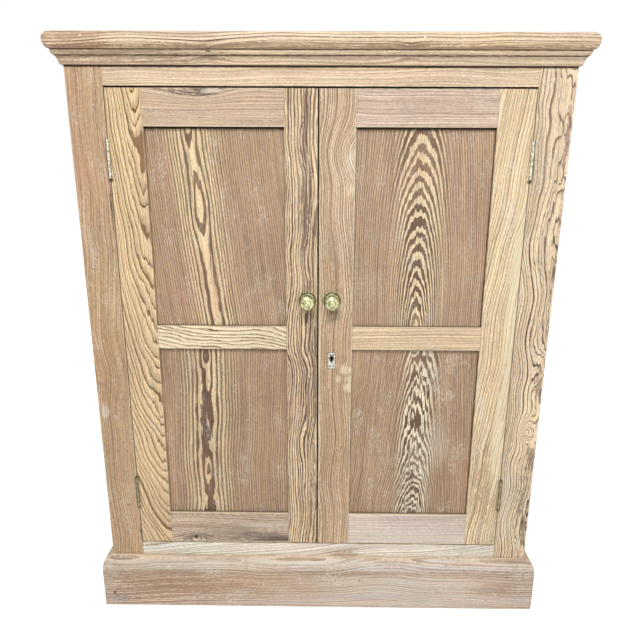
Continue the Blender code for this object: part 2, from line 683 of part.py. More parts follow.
def build_door_stiles(door, finishes):
    """Both stiles of a door, run through from top to bottom."""
    bm = bmesh.new()
    add_prism(bm, stile_outline(door.hinge_edge, door.hinge_shoulder, 0), "Z", DOOR_BOTTOM, DOOR_TOP)
    hinge_stile = add_piece(f"{door.name}_door_hinge_stile", bm, finishes["hinge_stile"], pivot=door.pivot)
    mortises = bmesh.new()
    add_mortises(mortises, door.hinge_shoulder, door.side)
    cut(hinge_stile, mortises, "mortises")
    seats = bmesh.new()
    add_leaf_seats(seats, door.side, "door")
    cut(hinge_stile, seats, "hinge_seats")

    arris = MEETING_ARRIS if door.name == "right" else 0
    bm = bmesh.new()
    add_prism(bm, stile_outline(door.meeting_edge, door.meeting_shoulder, arris), "Z", DOOR_BOTTOM, DOOR_TOP)
    meeting_stile = add_piece(f"{door.name}_door_meeting_stile", bm, finishes["meeting_stile"],
                              pivot=door.pivot)
    mortises = bmesh.new()
    add_mortises(mortises, door.meeting_shoulder, -door.side)
    cut(meeting_stile, mortises, "mortises")
    holes = bmesh.new()
    spigot_hole = KNOB_SPIGOT_RADIUS + FIT
    depth = KNOB_SPIGOT_LENGTH + 2 * FIT
    add_rod(holes, spigot_hole, (KNOB_X[door.name], FRONT - FIT, KNOB_Z), (0, 1, 0), depth, ROD_SIDES)
    if door.name == "right":
        add_prism(holes, keyhole_outline(), "Y", FRONT - FIT, DOOR_BACK + FIT)
    cut(meeting_stile, holes, "holes")


def build_door_panels(door, finishes):
    spans = {
        "lower_panel": (BOTTOM_RAIL_TOP, MIDDLE_RAIL_BOTTOM),
        "upper_panel": (MIDDLE_RAIL_TOP, TOP_RAIL_BOTTOM),
    }
    reach = GROOVE_DEPTH - PANEL_PLAY
    half = PANEL_THICKNESS / 2
    for name, (sight_bottom, sight_top) in spans.items():
        bm = bmesh.new()
        width = (door.hinge_shoulder + door.side * reach, door.meeting_shoulder - door.side * reach)
        height = (sight_bottom - GROOVE_DEPTH + FIT, sight_top + reach)
        add_box(bm, width, (PANEL_MIDDLE - half, PANEL_MIDDLE + half), height)
        add_piece(f"{door.name}_door_{name}", bm, finishes[name], pivot=door.pivot)


def build_hinge_leaf(side, position, leaf, pivot):
    """One leaf of a butt hinge: a notched plate whose knuckles interleave with the other leaf's.

    The pin is riveted into the frame leaf's knuckles and runs through the bore of the door leaf's.
    """
    level = HINGE_LEVELS[position]
    axis_x = side * HINGE_AXIS_X
    outwards = side if leaf == "frame" else -side
    bottom = level - HINGE_LENGTH / 2
    pitch = HINGE_LENGTH / KNUCKLE_COUNT
    first = 0 if leaf == "frame" else 1
    own = range(first, KNUCKLE_COUNT, 2)
    plate_start = HINGE_AXIS_Y + KNUCKLE_RADIUS + FIT

    outline = [(LEAF_END, bottom), (plate_start, bottom)]
    for number in own:
        low = bottom + number * pitch + FIT
        high = low + pitch - 2 * FIT
        outline += [(plate_start, low), (HINGE_AXIS_Y, low), (HINGE_AXIS_Y, high), (plate_start, high)]
    outline += [(plate_start, bottom + HINGE_LENGTH), (LEAF_END, bottom + HINGE_LENGTH)]
    bm = bmesh.new()
    add_prism(bm, outline, "X", axis_x + outwards * LEAF_INNER, axis_x + outwards * LEAF_OUTER)
    owner = "left" if side < 0 else "right"
    piece = add_piece(f"{owner}_{position}_hinge_{leaf}_leaf", bm, DULL_STEEL,
                      anchor=(axis_x, HINGE_AXIS_Y, level), pivot=pivot, smooth=True)

    knuckles = bmesh.new()
    for number in own:
        foot = (axis_x, HINGE_AXIS_Y, bottom + number * pitch + FIT / 2)
        add_rod(knuckles, KNUCKLE_RADIUS, foot, (0, 0, 1), pitch - FIT, KNUCKLE_SIDES)
    join(piece, knuckles, "knuckles")
    if leaf == "frame":
        pin = bmesh.new()
        foot = (axis_x, HINGE_AXIS_Y, bottom + PIN_END_INSET)
        add_rod(pin, HINGE_PIN_RADIUS, foot, (0, 0, 1), HINGE_LENGTH - 2 * PIN_END_INSET, KNUCKLE_SIDES)
        join(piece, pin, "pin")
    else:
        bore = bmesh.new()
        foot = (axis_x, HINGE_AXIS_Y, bottom)
        add_rod(bore, HINGE_PIN_RADIUS + FIT, foot, (0, 0, 1), HINGE_LENGTH, KNUCKLE_SIDES)
        cut(piece, bore, "pin_bore")

    holes = bmesh.new()
    sink = [(SCREW_HEAD_RADIUS, -HINGE_LEAF_GAP), (SCREW_HEAD_RADIUS, 0)]
    sink += [(SCREW_HOLE_RADIUS, HINGE_LEAF_THICKNESS / 2), (SCREW_HOLE_RADIUS, HINGE_LEAF_THICKNESS + FIT)]
    mouth_x = axis_x + outwards * LEAF_INNER
    mouth_y = (FRONT + LEAF_END) / 2
    for step in (-1, 0, 1):
        mouth = (mouth_x, mouth_y, level + step * HINGE_SCREW_SPACING)
        add_turning(holes, sink, mouth, (outwards, 0, 0), SCREW_HOLE_SIDES)
    cut(piece, holes, "screw_holes")


def knob_profile():
    """Turned knob as (radius, distance out from the door's face), spigot first."""
    waist = (0, KNOB_WAIST_OUT)
    profile = [(KNOB_SPIGOT_RADIUS, -KNOB_SPIGOT_LENGTH), (KNOB_SPIGOT_RADIUS, FIT)]
    profile += [(KNOB_NECK_RADIUS, FIT), (KNOB_NECK_RADIUS * 0.9, KNOB_NECK_LENGTH)]
    profile += arc(waist, (KNOB_RADIUS, KNOB_BACK_DEPTH), -65, 0, 5)
    profile += arc(waist, (KNOB_RADIUS, KNOB_FRONT_DEPTH), 0, 58, 5)[1:]
    boss_foot = KNOB_PROJECTION - KNOB_BOSS_HEIGHT
    profile += arc((0, boss_foot), (KNOB_BOSS_RADIUS, KNOB_BOSS_HEIGHT), 0, 80, 4)
    profile.append((KNOB_BOSS_RADIUS / 10, KNOB_PROJECTION))
    return profile


def rose_profile():
    """Ring-shaped rose: flat back, rounded rim and a raised step round the knob's neck."""
    bore = KNOB_NECK_RADIUS + FIT
    step = ROSE_RADIUS - ROSE_STEP_INSET
    rim = (ROSE_RADIUS - ROSE_RIM_ROUND, ROSE_RIM_HEIGHT)
    profile = [(bore, FIT), (ROSE_RADIUS, FIT)]
    profile += arc(rim, (ROSE_RIM_ROUND, ROSE_RIM_ROUND), 0, 90, 3)
    profile += [(step, ROSE_RIM_HEIGHT + ROSE_RIM_ROUND), (step - FIT, ROSE_THICKNESS)]
    profile.append((bore, ROSE_THICKNESS))
    return profile


def build_knob(door):
    face = (KNOB_X[door.name], FRONT, KNOB_Z)
    bm = bmesh.new()
    add_turning(bm, rose_profile(), face, (0, -1, 0), KNOB_SIDES, closed=True)
    add_piece(f"{door.name}_knob_rose", bm, AGED_BRASS, anchor=face, pivot=door.pivot, smooth=True)
    bm = bmesh.new()
    add_turning(bm, knob_profile(), face, (0, -1, 0), KNOB_SIDES)
    add_piece(f"{door.name}_knob", bm, AGED_BRASS, anchor=face, pivot=door.pivot, smooth=True)


def keyhole_outline():
    """Keyhole in (x, z): a round eye over a straight slot."""
    half = KEYHOLE_SLOT / 2
    corner = math.degrees(math.asin(half / KEYHOLE_RADIUS))
    outline = arc((KEYHOLE_X, KEYHOLE_Z), (KEYHOLE_RADIUS, KEYHOLE_RADIUS), -90 + corner, 270 - corner, 12)
    outline += [(KEYHOLE_X - half, KEYHOLE_Z - KEYHOLE_DROP), (KEYHOLE_X + half, KEYHOLE_Z - KEYHOLE_DROP)]
    return outline


def build_escutcheon(door):
    """Flat key plate with chamfered edges."""
    middle_z = KEYHOLE_Z + ESCUTCHEON_RISE
    back = FRONT - FIT
    face = back - ESCUTCHEON_THICKNESS
    sections = []
    for depth, inset in ((back, 0), (face + ESCUTCHEON_CHAMFER, 0), (face, ESCUTCHEON_CHAMFER)):
        half_x = ESCUTCHEON_WIDTH / 2 - inset
        half_z = ESCUTCHEON_HEIGHT / 2 - inset
        left, right = KEYHOLE_X - half_x, KEYHOLE_X + half_x
        low, high = middle_z - half_z, middle_z + half_z
        sections.append([(left, depth, low), (right, depth, low), (right, depth, high), (left, depth, high)])
    bm = bmesh.new()
    add_loft(bm, sections)
    plate = add_piece("escutcheon", bm, BRIGHT_STEEL, pivot=door.pivot)
    hole = bmesh.new()
    add_prism(hole, keyhole_outline(), "Y", back + FIT, face - FIT)
    cut(plate, hole, "keyhole")


def lock_bolt_outline(left, right, grow, talon):
    """Lock bolt in (x, z): a deep head at its left end and a tail above the key."""
    head_end = left + LOCK_BOLT_HEAD
    low = KEYHOLE_Z - LOCK_BOLT_BELOW - grow
    tail = KEYHOLE_Z + LOCK_TAIL_BELOW - grow
    high = KEYHOLE_Z + LOCK_BOLT_ABOVE + grow
    outline = [(left, high), (left, low), (head_end + grow, low), (head_end + grow, tail)]
    if talon:
        notch_left = KEYHOLE_X - TALON_WIDTH / 2
        notch_right = KEYHOLE_X + TALON_WIDTH / 2
        outline += [(notch_left, tail), (notch_left, tail + TALON_DEPTH)]
        outline += [(notch_right, tail + TALON_DEPTH), (notch_right, tail)]
    outline += [(right + grow, tail), (right + grow, high)]
    return outline


def build_lock(door):
    """Cupboard lock on the back of the right meeting stile, with its bolt drawn in."""
    left = door.meeting_edge + LOCK_EDGE_INSET
    right = left + LOCK_WIDTH
    back = LOCK_FACE + LOCK_DEPTH
    bm = bmesh.new()
    add_box(bm, (left, right), (LOCK_FACE, back), (KEYHOLE_Z - LOCK_BELOW, KEYHOLE_Z + LOCK_ABOVE))
    case = add_piece("lock_case", bm, BLACK_IRON, pivot=door.pivot)
    channel = bmesh.new()
    outline = lock_bolt_outline(left, left + LOCK_BOLT_LENGTH, FIT, False)
    outline[0] = (left - FIT, outline[0][1])
    outline[1] = (left - FIT, outline[1][1])
    add_prism(channel, outline, "Y", LOCK_BOLT_FRONT - FIT, LOCK_BOLT_BACK + FIT)
    cut(case, channel, "bolt_channel")
    chamber = bmesh.new()
    centre = (KEYHOLE_X, LOCK_FACE - FIT, KEYHOLE_Z)
    add_rod(chamber, KEY_CHAMBER_RADIUS, centre, (0, 1, 0), KEY_CHAMBER_DEPTH + FIT, KNUCKLE_SIDES)
    cut(case, chamber, "key_chamber")
    pin = bmesh.new()
    tip = (KEYHOLE_X, LOCK_FACE + DRILL_PIN_END_GAP, KEYHOLE_Z)
    add_rod(pin, DRILL_PIN_RADIUS, tip, (0, 1, 0), KEY_CHAMBER_DEPTH, ROD_SIDES)
    join(case, pin, "drill_pin")

    bm = bmesh.new()
    outline = lock_bolt_outline(left, left + LOCK_BOLT_LENGTH, 0, True)
    add_prism(bm, outline, "Y", LOCK_BOLT_FRONT, LOCK_BOLT_BACK)
    axis_y = (LOCK_BOLT_FRONT + LOCK_BOLT_BACK) / 2
    axis_z = KEYHOLE_Z + (LOCK_BOLT_ABOVE + LOCK_TAIL_BELOW) / 2
    add_piece("lock_bolt", bm, BRIGHT_STEEL, anchor=(left, axis_y, axis_z), pivot=door.pivot)


def build_lock_keep(door):
    """Box keep on the back of the left door that the lock's bolt shoots into."""
    mouth = door.meeting_edge - KEEP_INSET
    closed_end = mouth - LOCK_BOLT_TRAVEL - KEEP_CLEARANCE - KEEP_WALL
    low = KEYHOLE_Z - LOCK_BOLT_BELOW - KEEP_CLEARANCE
    high = KEYHOLE_Z + LOCK_BOLT_ABOVE + KEEP_CLEARANCE
    near = LOCK_BOLT_FRONT - KEEP_CLEARANCE
    far = LOCK_BOLT_BACK + KEEP_CLEARANCE
    bm = bmesh.new()
    levels = (low - KEEP_WALL, high + KEEP_WALL)
    add_box(bm, (closed_end, mouth), (LOCK_FACE, LOCK_FACE + LOCK_DEPTH), levels)
    keep = add_piece("lock_keep", bm, BLACK_IRON, pivot=door.pivot)
    pocket = bmesh.new()
    add_box(pocket, (closed_end + KEEP_WALL, mouth + FIT), (near, far), (low, high))
    cut(keep, pocket, "pocket")


def build_top_bolt(door, bolt_x):
    """Barrel bolt: a plate with two guides, and a rod with a finger stud that rests on the lower guide."""
    bm = bmesh.new()
    half = BOLT_PLATE_WIDTH / 2
    plate_y = (DOOR_BACK + FIT, BOLT_PLATE_FACE)
    add_box(bm, (bolt_x - half, bolt_x + half), plate_y, (BOLT_PLATE_BOTTOM, BOLT_PLATE_TOP))
    plate = add_piece("top_bolt_plate", bm, BLACK_IRON, pivot=door.pivot)
    guides = bmesh.new()
    guide_half = BOLT_GUIDE_WIDTH / 2
    root = BOLT_PLATE_FACE - BOLT_PLATE_THICKNESS / 2
    crown = BOLT_AXIS_Y + BOLT_ROD_RADIUS + ROD_CLEARANCE + BOLT_GUIDE_WALL
    lower_top = BOLT_PLATE_BOTTOM + BOLT_GUIDE_HEIGHT
    upper_bottom = BOLT_PLATE_TOP - BOLT_GUIDE_HEIGHT
    for levels in ((BOLT_PLATE_BOTTOM + FIT, lower_top), (upper_bottom, BOLT_PLATE_TOP - FIT)):
        add_box(guides, (bolt_x - guide_half, bolt_x + guide_half), (root, crown), levels)
    join(plate, guides, "guides")
    bore = bmesh.new()
    foot = (bolt_x, BOLT_AXIS_Y, BOLT_PLATE_BOTTOM - FIT)
    add_rod(bore, BOLT_ROD_RADIUS + ROD_CLEARANCE, foot, (0, 0, 1), BOLT_PLATE_LENGTH + 2 * FIT, ROD_SIDES)
    cut(plate, bore, "bore")

    bm = bmesh.new()
    tail = BOLT_PLATE_BOTTOM - BOLT_TAIL
    add_rod(bm, BOLT_ROD_RADIUS, (bolt_x, BOLT_AXIS_Y, tail), (0, 0, 1), BOLT_TIP - tail, ROD_SIDES)
    rod = add_piece("top_bolt_rod", bm, BRIGHT_STEEL, anchor=(bolt_x, BOLT_AXIS_Y, tail), pivot=door.pivot,
                    smooth=True)
    stud = bmesh.new()
    stud_z = lower_top + BOLT_END_PLAY + BOLT_STUD_RADIUS
    length = BOLT_ROD_RADIUS + BOLT_STUD_LENGTH
    add_rod(stud, BOLT_STUD_RADIUS, (bolt_x, BOLT_AXIS_Y, stud_z), (0, 1, 0), length, ROD_SIDES)
    join(rod, stud, "stud")


def build_door(name, finishes):
    door = door_layout(name)
    build_door_stiles(door, finishes)
    build_door_rails(door, finishes)
    build_door_panels(door, finishes)
    for position in HINGE_LEVELS:
        build_hinge_leaf(door.side, position, "frame", None)
        build_hinge_leaf(door.side, position, "door", door.pivot)
    build_knob(door)
    return door


def build():
    clear_scene()
    build_frame()
    build_sides_and_floor()
    build_back()
    build_shelves()
    build_top_board()
    build_mitred_run("bed_mould", mould_profile(), CARCASS_TOP - BED_MOULD_HEIGHT)
    build_mitred_run("plinth", plinth_profile(), 0)
    left = build_door("left", {
        "hinge_stile": PALE_PINE,
        "meeting_stile": BROWN_PINE,
        "top_rail": RED_PINE,
        "middle_rail": PALE_PINE,
        "bottom_rail": GREY_PINE,
        "upper_panel": BROWN_PINE,
        "lower_panel": BROWN_PINE,
    })
    right = build_door("right", {
        "hinge_stile": PALE_PINE,
        "meeting_stile": RED_PINE,
        "top_rail": GREY_PINE,
        "middle_rail": PALE_PINE,
        "bottom_rail": GREY_PINE,
        "upper_panel": BROWN_PINE,
        "lower_panel": BROWN_PINE,
    })
    bolt_x = (left.meeting_edge + left.meeting_shoulder) / 2
    build_top_stop(bolt_x)
    build_top_bolt(left, bolt_x)
    build_lock_keep(left)
    build_escutcheon(right)
    build_lock(right)


build()
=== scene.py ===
import json
import math
import zlib
from dataclasses import dataclass

import bmesh
import bpy
from mathutils import Matrix, Vector, noise


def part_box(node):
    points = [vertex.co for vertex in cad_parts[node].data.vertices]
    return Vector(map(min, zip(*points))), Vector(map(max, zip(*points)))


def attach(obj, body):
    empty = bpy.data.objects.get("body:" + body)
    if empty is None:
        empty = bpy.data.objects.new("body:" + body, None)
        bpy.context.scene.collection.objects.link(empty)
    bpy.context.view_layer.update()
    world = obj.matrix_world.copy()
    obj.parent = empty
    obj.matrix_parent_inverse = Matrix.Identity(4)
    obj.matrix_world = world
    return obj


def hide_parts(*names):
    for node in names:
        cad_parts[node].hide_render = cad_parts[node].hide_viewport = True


# Looks of the larder cupboard: sawn pine with its growth rings, worn arrises, brass knobs, hinges and key
# plate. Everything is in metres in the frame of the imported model, with the doors towards -Y.

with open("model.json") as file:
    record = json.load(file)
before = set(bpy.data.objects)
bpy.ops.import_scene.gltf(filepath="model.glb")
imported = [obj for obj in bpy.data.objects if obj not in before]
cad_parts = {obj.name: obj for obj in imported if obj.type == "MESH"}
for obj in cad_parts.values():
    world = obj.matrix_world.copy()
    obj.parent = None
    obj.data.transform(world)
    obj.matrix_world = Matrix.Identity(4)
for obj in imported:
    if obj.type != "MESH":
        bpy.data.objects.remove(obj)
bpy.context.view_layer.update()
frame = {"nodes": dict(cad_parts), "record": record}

BODIES = frame["record"]["behaviour"]["bodies"]
BODY_OF = {node: body for body, nodes in BODIES.items() for node in nodes}
SLOT_OF = {piece["node"]: piece["material_slot"] for piece in frame["record"]["subparts"]}
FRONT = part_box("frame_left_stile")[0].y


def tone(red, green, blue):
    """Linear colour of the percentages of red, green and blue as a screen shows them."""
    return tuple(((percent / 100 + 0.055) / 1.055) ** 2.4 for percent in (red, green, blue)) + (1.0,)


MM = 0.001

# Colours of the wood, of its stains and of its wear, and of the shade and highlights painted on it.
CREAM = tone(92, 82, 67)
UMBER = tone(50, 40, 34)
TAN = tone(82, 70, 56)
BROWN = tone(62, 50, 38)
CHALK = tone(93, 90, 84)
# Near-black brown for knots, cracks and dirt, and for painted shade.
SHADE_AND_SOOT = tone(18, 13, 9)
GAP_SHADE_AND_DIRT = tone(20, 13, 7)
PURPLE = tone(47, 38, 34)
GREY = tone(44, 40, 38)
ROSY = tone(78, 57, 47)
STRAW = tone(88, 75, 55)
RUST = tone(60, 44, 32)
PORE = tone(42, 33, 26)
RUBBED_AND_HIGHLIGHT = tone(93, 86, 73)
GLARE = tone(96, 91, 77)
AMBER = tone(74, 56, 36)

# Early and late wood of boards that share them.
PANEL = (tone(78, 67, 56), tone(58, 47, 37))
PANEL_FIGURE = (tone(91, 81, 65), tone(46, 37, 30))
DRY = (tone(78, 66, 52), tone(62, 49, 36))
KNOTTY = (tone(93, 84, 71), tone(36, 26, 19))
HONEY = (tone(94, 83, 66), tone(48, 34, 21))
MOULD_END = (tone(88, 79, 68), tone(66, 55, 44))
PLINTH_END = (tone(88, 79, 70), tone(68, 57, 48))

# Colours of the brass, the hinges and the key plate, and of the dirt and painted shade on them. The lower
# hinges are darker than the upper ones.
BRASS_BRIGHT = tone(86, 86, 68)
BRASS_DULL = tone(52, 52, 34)
METAL_DIRT_AND_SHADE = tone(24, 23, 14)
HINGE_SHADE = tone(27, 23, 18)
NICKEL_BRIGHT = tone(84, 83, 78)
NICKEL_DULL = tone(66, 64, 58)
HINGE_COLOURS = {
    "upper": (tone(93, 93, 86), tone(60, 57, 48)),
    "lower": (tone(68, 63, 50), tone(44, 39, 29)),
}


def seed_of(name):
    """A number for the noise of a material, always the same for the same name."""
    return zlib.crc32(name.encode()) % 997 / 10


class Wire:
    """A number or colour on its way through a node tree. Arithmetic on it adds nodes."""

    def __init__(self, nodes, socket):
        self.nodes = nodes
        self.socket = socket

    def __add__(self, other):
        return self.nodes.math("ADD", self, other)

    def __sub__(self, other):
        return self.nodes.math("SUBTRACT", self, other)

    def __rsub__(self, other):
        return self.nodes.math("SUBTRACT", other, self)

    def __mul__(self, other):
        return self.nodes.math("MULTIPLY", self, other)

    def __truediv__(self, other):
        return self.nodes.math("DIVIDE", self, other)

    __radd__ = __add__
    __rmul__ = __mul__


class Nodes:
    """A node tree, with short ways to add to it."""

    def __init__(self, tree):
        self.tree = tree

    def node(self, kind, **settings):
        made = self.tree.nodes.new(kind)
        for name, value in settings.items():
            setattr(made, name, value)
        return made

    def feed(self, socket, value):
        if isinstance(value, Wire):
            self.tree.links.new(value.socket, socket)
        else:
            socket.default_value = value

    def through(self, made, *values):
        """The first output of a node that has these values as its first inputs."""
        for socket, value in zip(made.inputs, values):
            self.feed(socket, value)
        return Wire(self, made.outputs[0])

    def math(self, operation, *values):
        return self.through(self.node("ShaderNodeMath", operation=operation), *values)

    def object_place(self):
        """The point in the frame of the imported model."""
        return Wire(self, self.node("ShaderNodeTexCoord").outputs["Object"])

    def seen(self):
        """1 for a ray from the camera, a reflection or a see-through surface, and 0 for other light."""
        path = self.node("ShaderNodeLightPath")
        camera, glossy, through = (Wire(self, path.outputs[f"Is {kind} Ray"])
                                   for kind in ("Camera", "Glossy", "Transmission"))
        return self.math("MAXIMUM", self.math("MAXIMUM", camera, glossy), through)


class Graph(Nodes):
    """The nodes of one material, with a principled shader at the end."""

    def __init__(self, name):
        self.material = bpy.data.materials.new(name)
        self.material.use_nodes = True
        super().__init__(self.material.node_tree)
        self.tree.nodes.clear()
        self.seed = seed_of(name)
        self.shader = self.node("ShaderNodeBsdfPrincipled")
        output = self.node("ShaderNodeOutputMaterial")
        self.tree.links.new(self.shader.outputs[0], output.inputs[0])

    def place(self):
        """The three coordinates of the point."""
        split = self.node("ShaderNodeSeparateXYZ")
        self.feed(split.inputs[0], self.object_place())
        return dict(zip("xyz", (Wire(self, socket) for socket in split.outputs)))

    def noise(self, x, y, z, detail=1.0):
        """Smooth noise from -1 to 1, mostly within a half of that."""
        point = self.through(self.node("ShaderNodeCombineXYZ"), x, y, z)
        made = self.node("ShaderNodeTexNoise")
        self.feed(made.inputs["Vector"], point)
        made.inputs["Scale"].default_value = 1.0
        made.inputs["Detail"].default_value = detail
        return self.math("MULTIPLY_ADD", Wire(self, made.outputs["Fac"]), 2.0, -1.0)

    def step(self, value, low, high):
        """0 below low, 1 above high and smooth between them; the other way round where low is above high."""
        ends = (low, high, 0.0, 1.0)
        if isinstance(low, float) and low > high:
            ends = (high, low, 1.0, 0.0)
        return self.through(self.node("ShaderNodeMapRange", interpolation_type="SMOOTHSTEP"), value, *ends)

    def mix(self, share, first, second):
        """The first colour with a share of the second."""
        made = self.node("ShaderNodeMix", data_type="RGBA", blend_type="MIX")
        for number, value in ((0, share), (6, first), (7, second)):
            self.feed(made.inputs[number], value)
        return Wire(self, made.outputs[2])

    def shaded(self, colour, shade):
        """The colour made lighter or darker by a number."""
        made = self.node("ShaderNodeVectorMath", operation="SCALE")
        self.feed(made.inputs["Scale"], shade)
        return self.through(made, colour)

    def bump(self, height, strength, distance):
        made = self.node("ShaderNodeBump")
        made.inputs["Strength"].default_value = strength
        made.inputs["Distance"].default_value = distance
        self.feed(made.inputs["Height"], height)
        self.feed(self.shader.inputs["Normal"], Wire(self, made.outputs[0]))

    def finish(self, colour, roughness, metallic=0.0, specular=0.5):
        self.feed(self.shader.inputs["Base Color"], colour)
        self.feed(self.shader.inputs["Roughness"], roughness)
        self.shader.inputs["Metallic"].default_value = metallic
        self.shader.inputs["Specular IOR Level"].default_value = specular
        return self.material


@dataclass
class Grain:
    """How a board was sawn out of the log, what its life did to it, and the shade and highlights painted on
    it.

    Places count from the middle of the board, across its width and along its length, in metres. Marks are in
    millimetres: an eye is (across, along, reach across, reach along, push on the rings, darkness), a patch
    (across, along, reach across, reach along, colour, share), a spot (across, along, radius, colour) and a
    seam (direction, place, reach, share), a dark line of painted shade, except at the joints of the back
    boards, where it is dirt. A few patches are painted shadows and highlights.
    """

    # The pith line: its place across and its slant, its depth behind the face and how that leans.
    centre: float = 0.0
    slant: float = 0.0
    pith: float = 0.05
    lean: float = 0.0
    # How the rings widen along the log, and below which place they bend away, and how much.
    taper: float = 0.0
    turn: float = 0.0
    bend: float = 0.0
    # Width of a year's ring, and how far the pith line wanders across, how often, and how far in depth.
    ring: float = 0.004
    wander: float = 0.004
    wave: float = 3.0
    roll: float = 0.003
    # Broad and fine roughness of the rings in ring widths, how uneven the years are, and where they start.
    swirl: float = 0.8
    jag: float = 0.3
    uneven: float = 1.0
    start: float = 0.0
    # Colours of early and late wood near the pith and elsewhere, and how much the late wood shows in each.
    figure: tuple = (CREAM, UMBER)
    plain: tuple = (TAN, BROWN)
    contrast: float = 0.95
    plain_contrast: float = 0.6
    # How far from the pith the bold figure reaches, and half the width of its soft end.
    reach: float = 0.036
    fade: float = 0.012
    # Late wood: its share of a year, how softly it starts, its darkness, and where its dark line starts.
    late_share: float = 0.45
    soften: float = 0.16
    body: float = 1.0
    line: float = 0.80
    eyes: tuple = ()
    patches: tuple = ()
    spots: tuple = ()
    seams: tuple = ()
    # Strength of the fibres, warm clouds, chalky dust, pale scratches, of the rubbed edges and their painted
    # highlight, and of the dirt and painted shade on the narrow sides.
    fuzz: float = 1.0
    tint: float = 1.0
    chalk: float = 0.10
    scuffs: float = 0.25
    rub: float = 0.3
    edge_dirt_and_shade: float = 0.0


# Scales of the noises of a board, in waves per metre across, along and, where there is a third, inwards.
BROAD_WAVES = (42, 11, 30)
FINE_WAVES = (190, 26, 120)
STREAKS = (300, 4, 90)
FIBRES = (480, 60, 300)
DUST = (420, 200, 200)
SCRATCHES = (240, 90, 60)
BLOTCHES = (11, 5)
WARM_CLOUDS = (9, 3.4)
CHALK_CLOUDS = (34, 13)
EDGE_WAVES = 90
# How far a mark on the face reaches into the board.
MARK_DEPTH = 0.06
# Width of the rubbed edge with its painted highlight, of its bare part, and of its waver.
RUBBED_WIDTH, BARE_WIDTH, RUB_WAVER = 0.0030, 0.0008, 0.003
# Dirt and painted shade on the narrow sides: the depths where they start and are full, and the same for
# their distance inwards.
SHADE_AND_DIRT_TOP, SHADE_AND_DIRT_FULL = 0.0012, 0.0040
SHADE_AND_DIRT_END, SHADE_AND_DIRT_OUTSIDE = 0.0010, 0.0004
# Bumps as (strength, distance).
WOOD_BUMP = (0.5, 0.0006)
METAL_BUMP = (0.12, 0.0003)
BRASS_BUMP = (0.30, 0.0004)
WOOD_ROUGHNESS = 0.68
WOOD_SPECULAR = 0.2


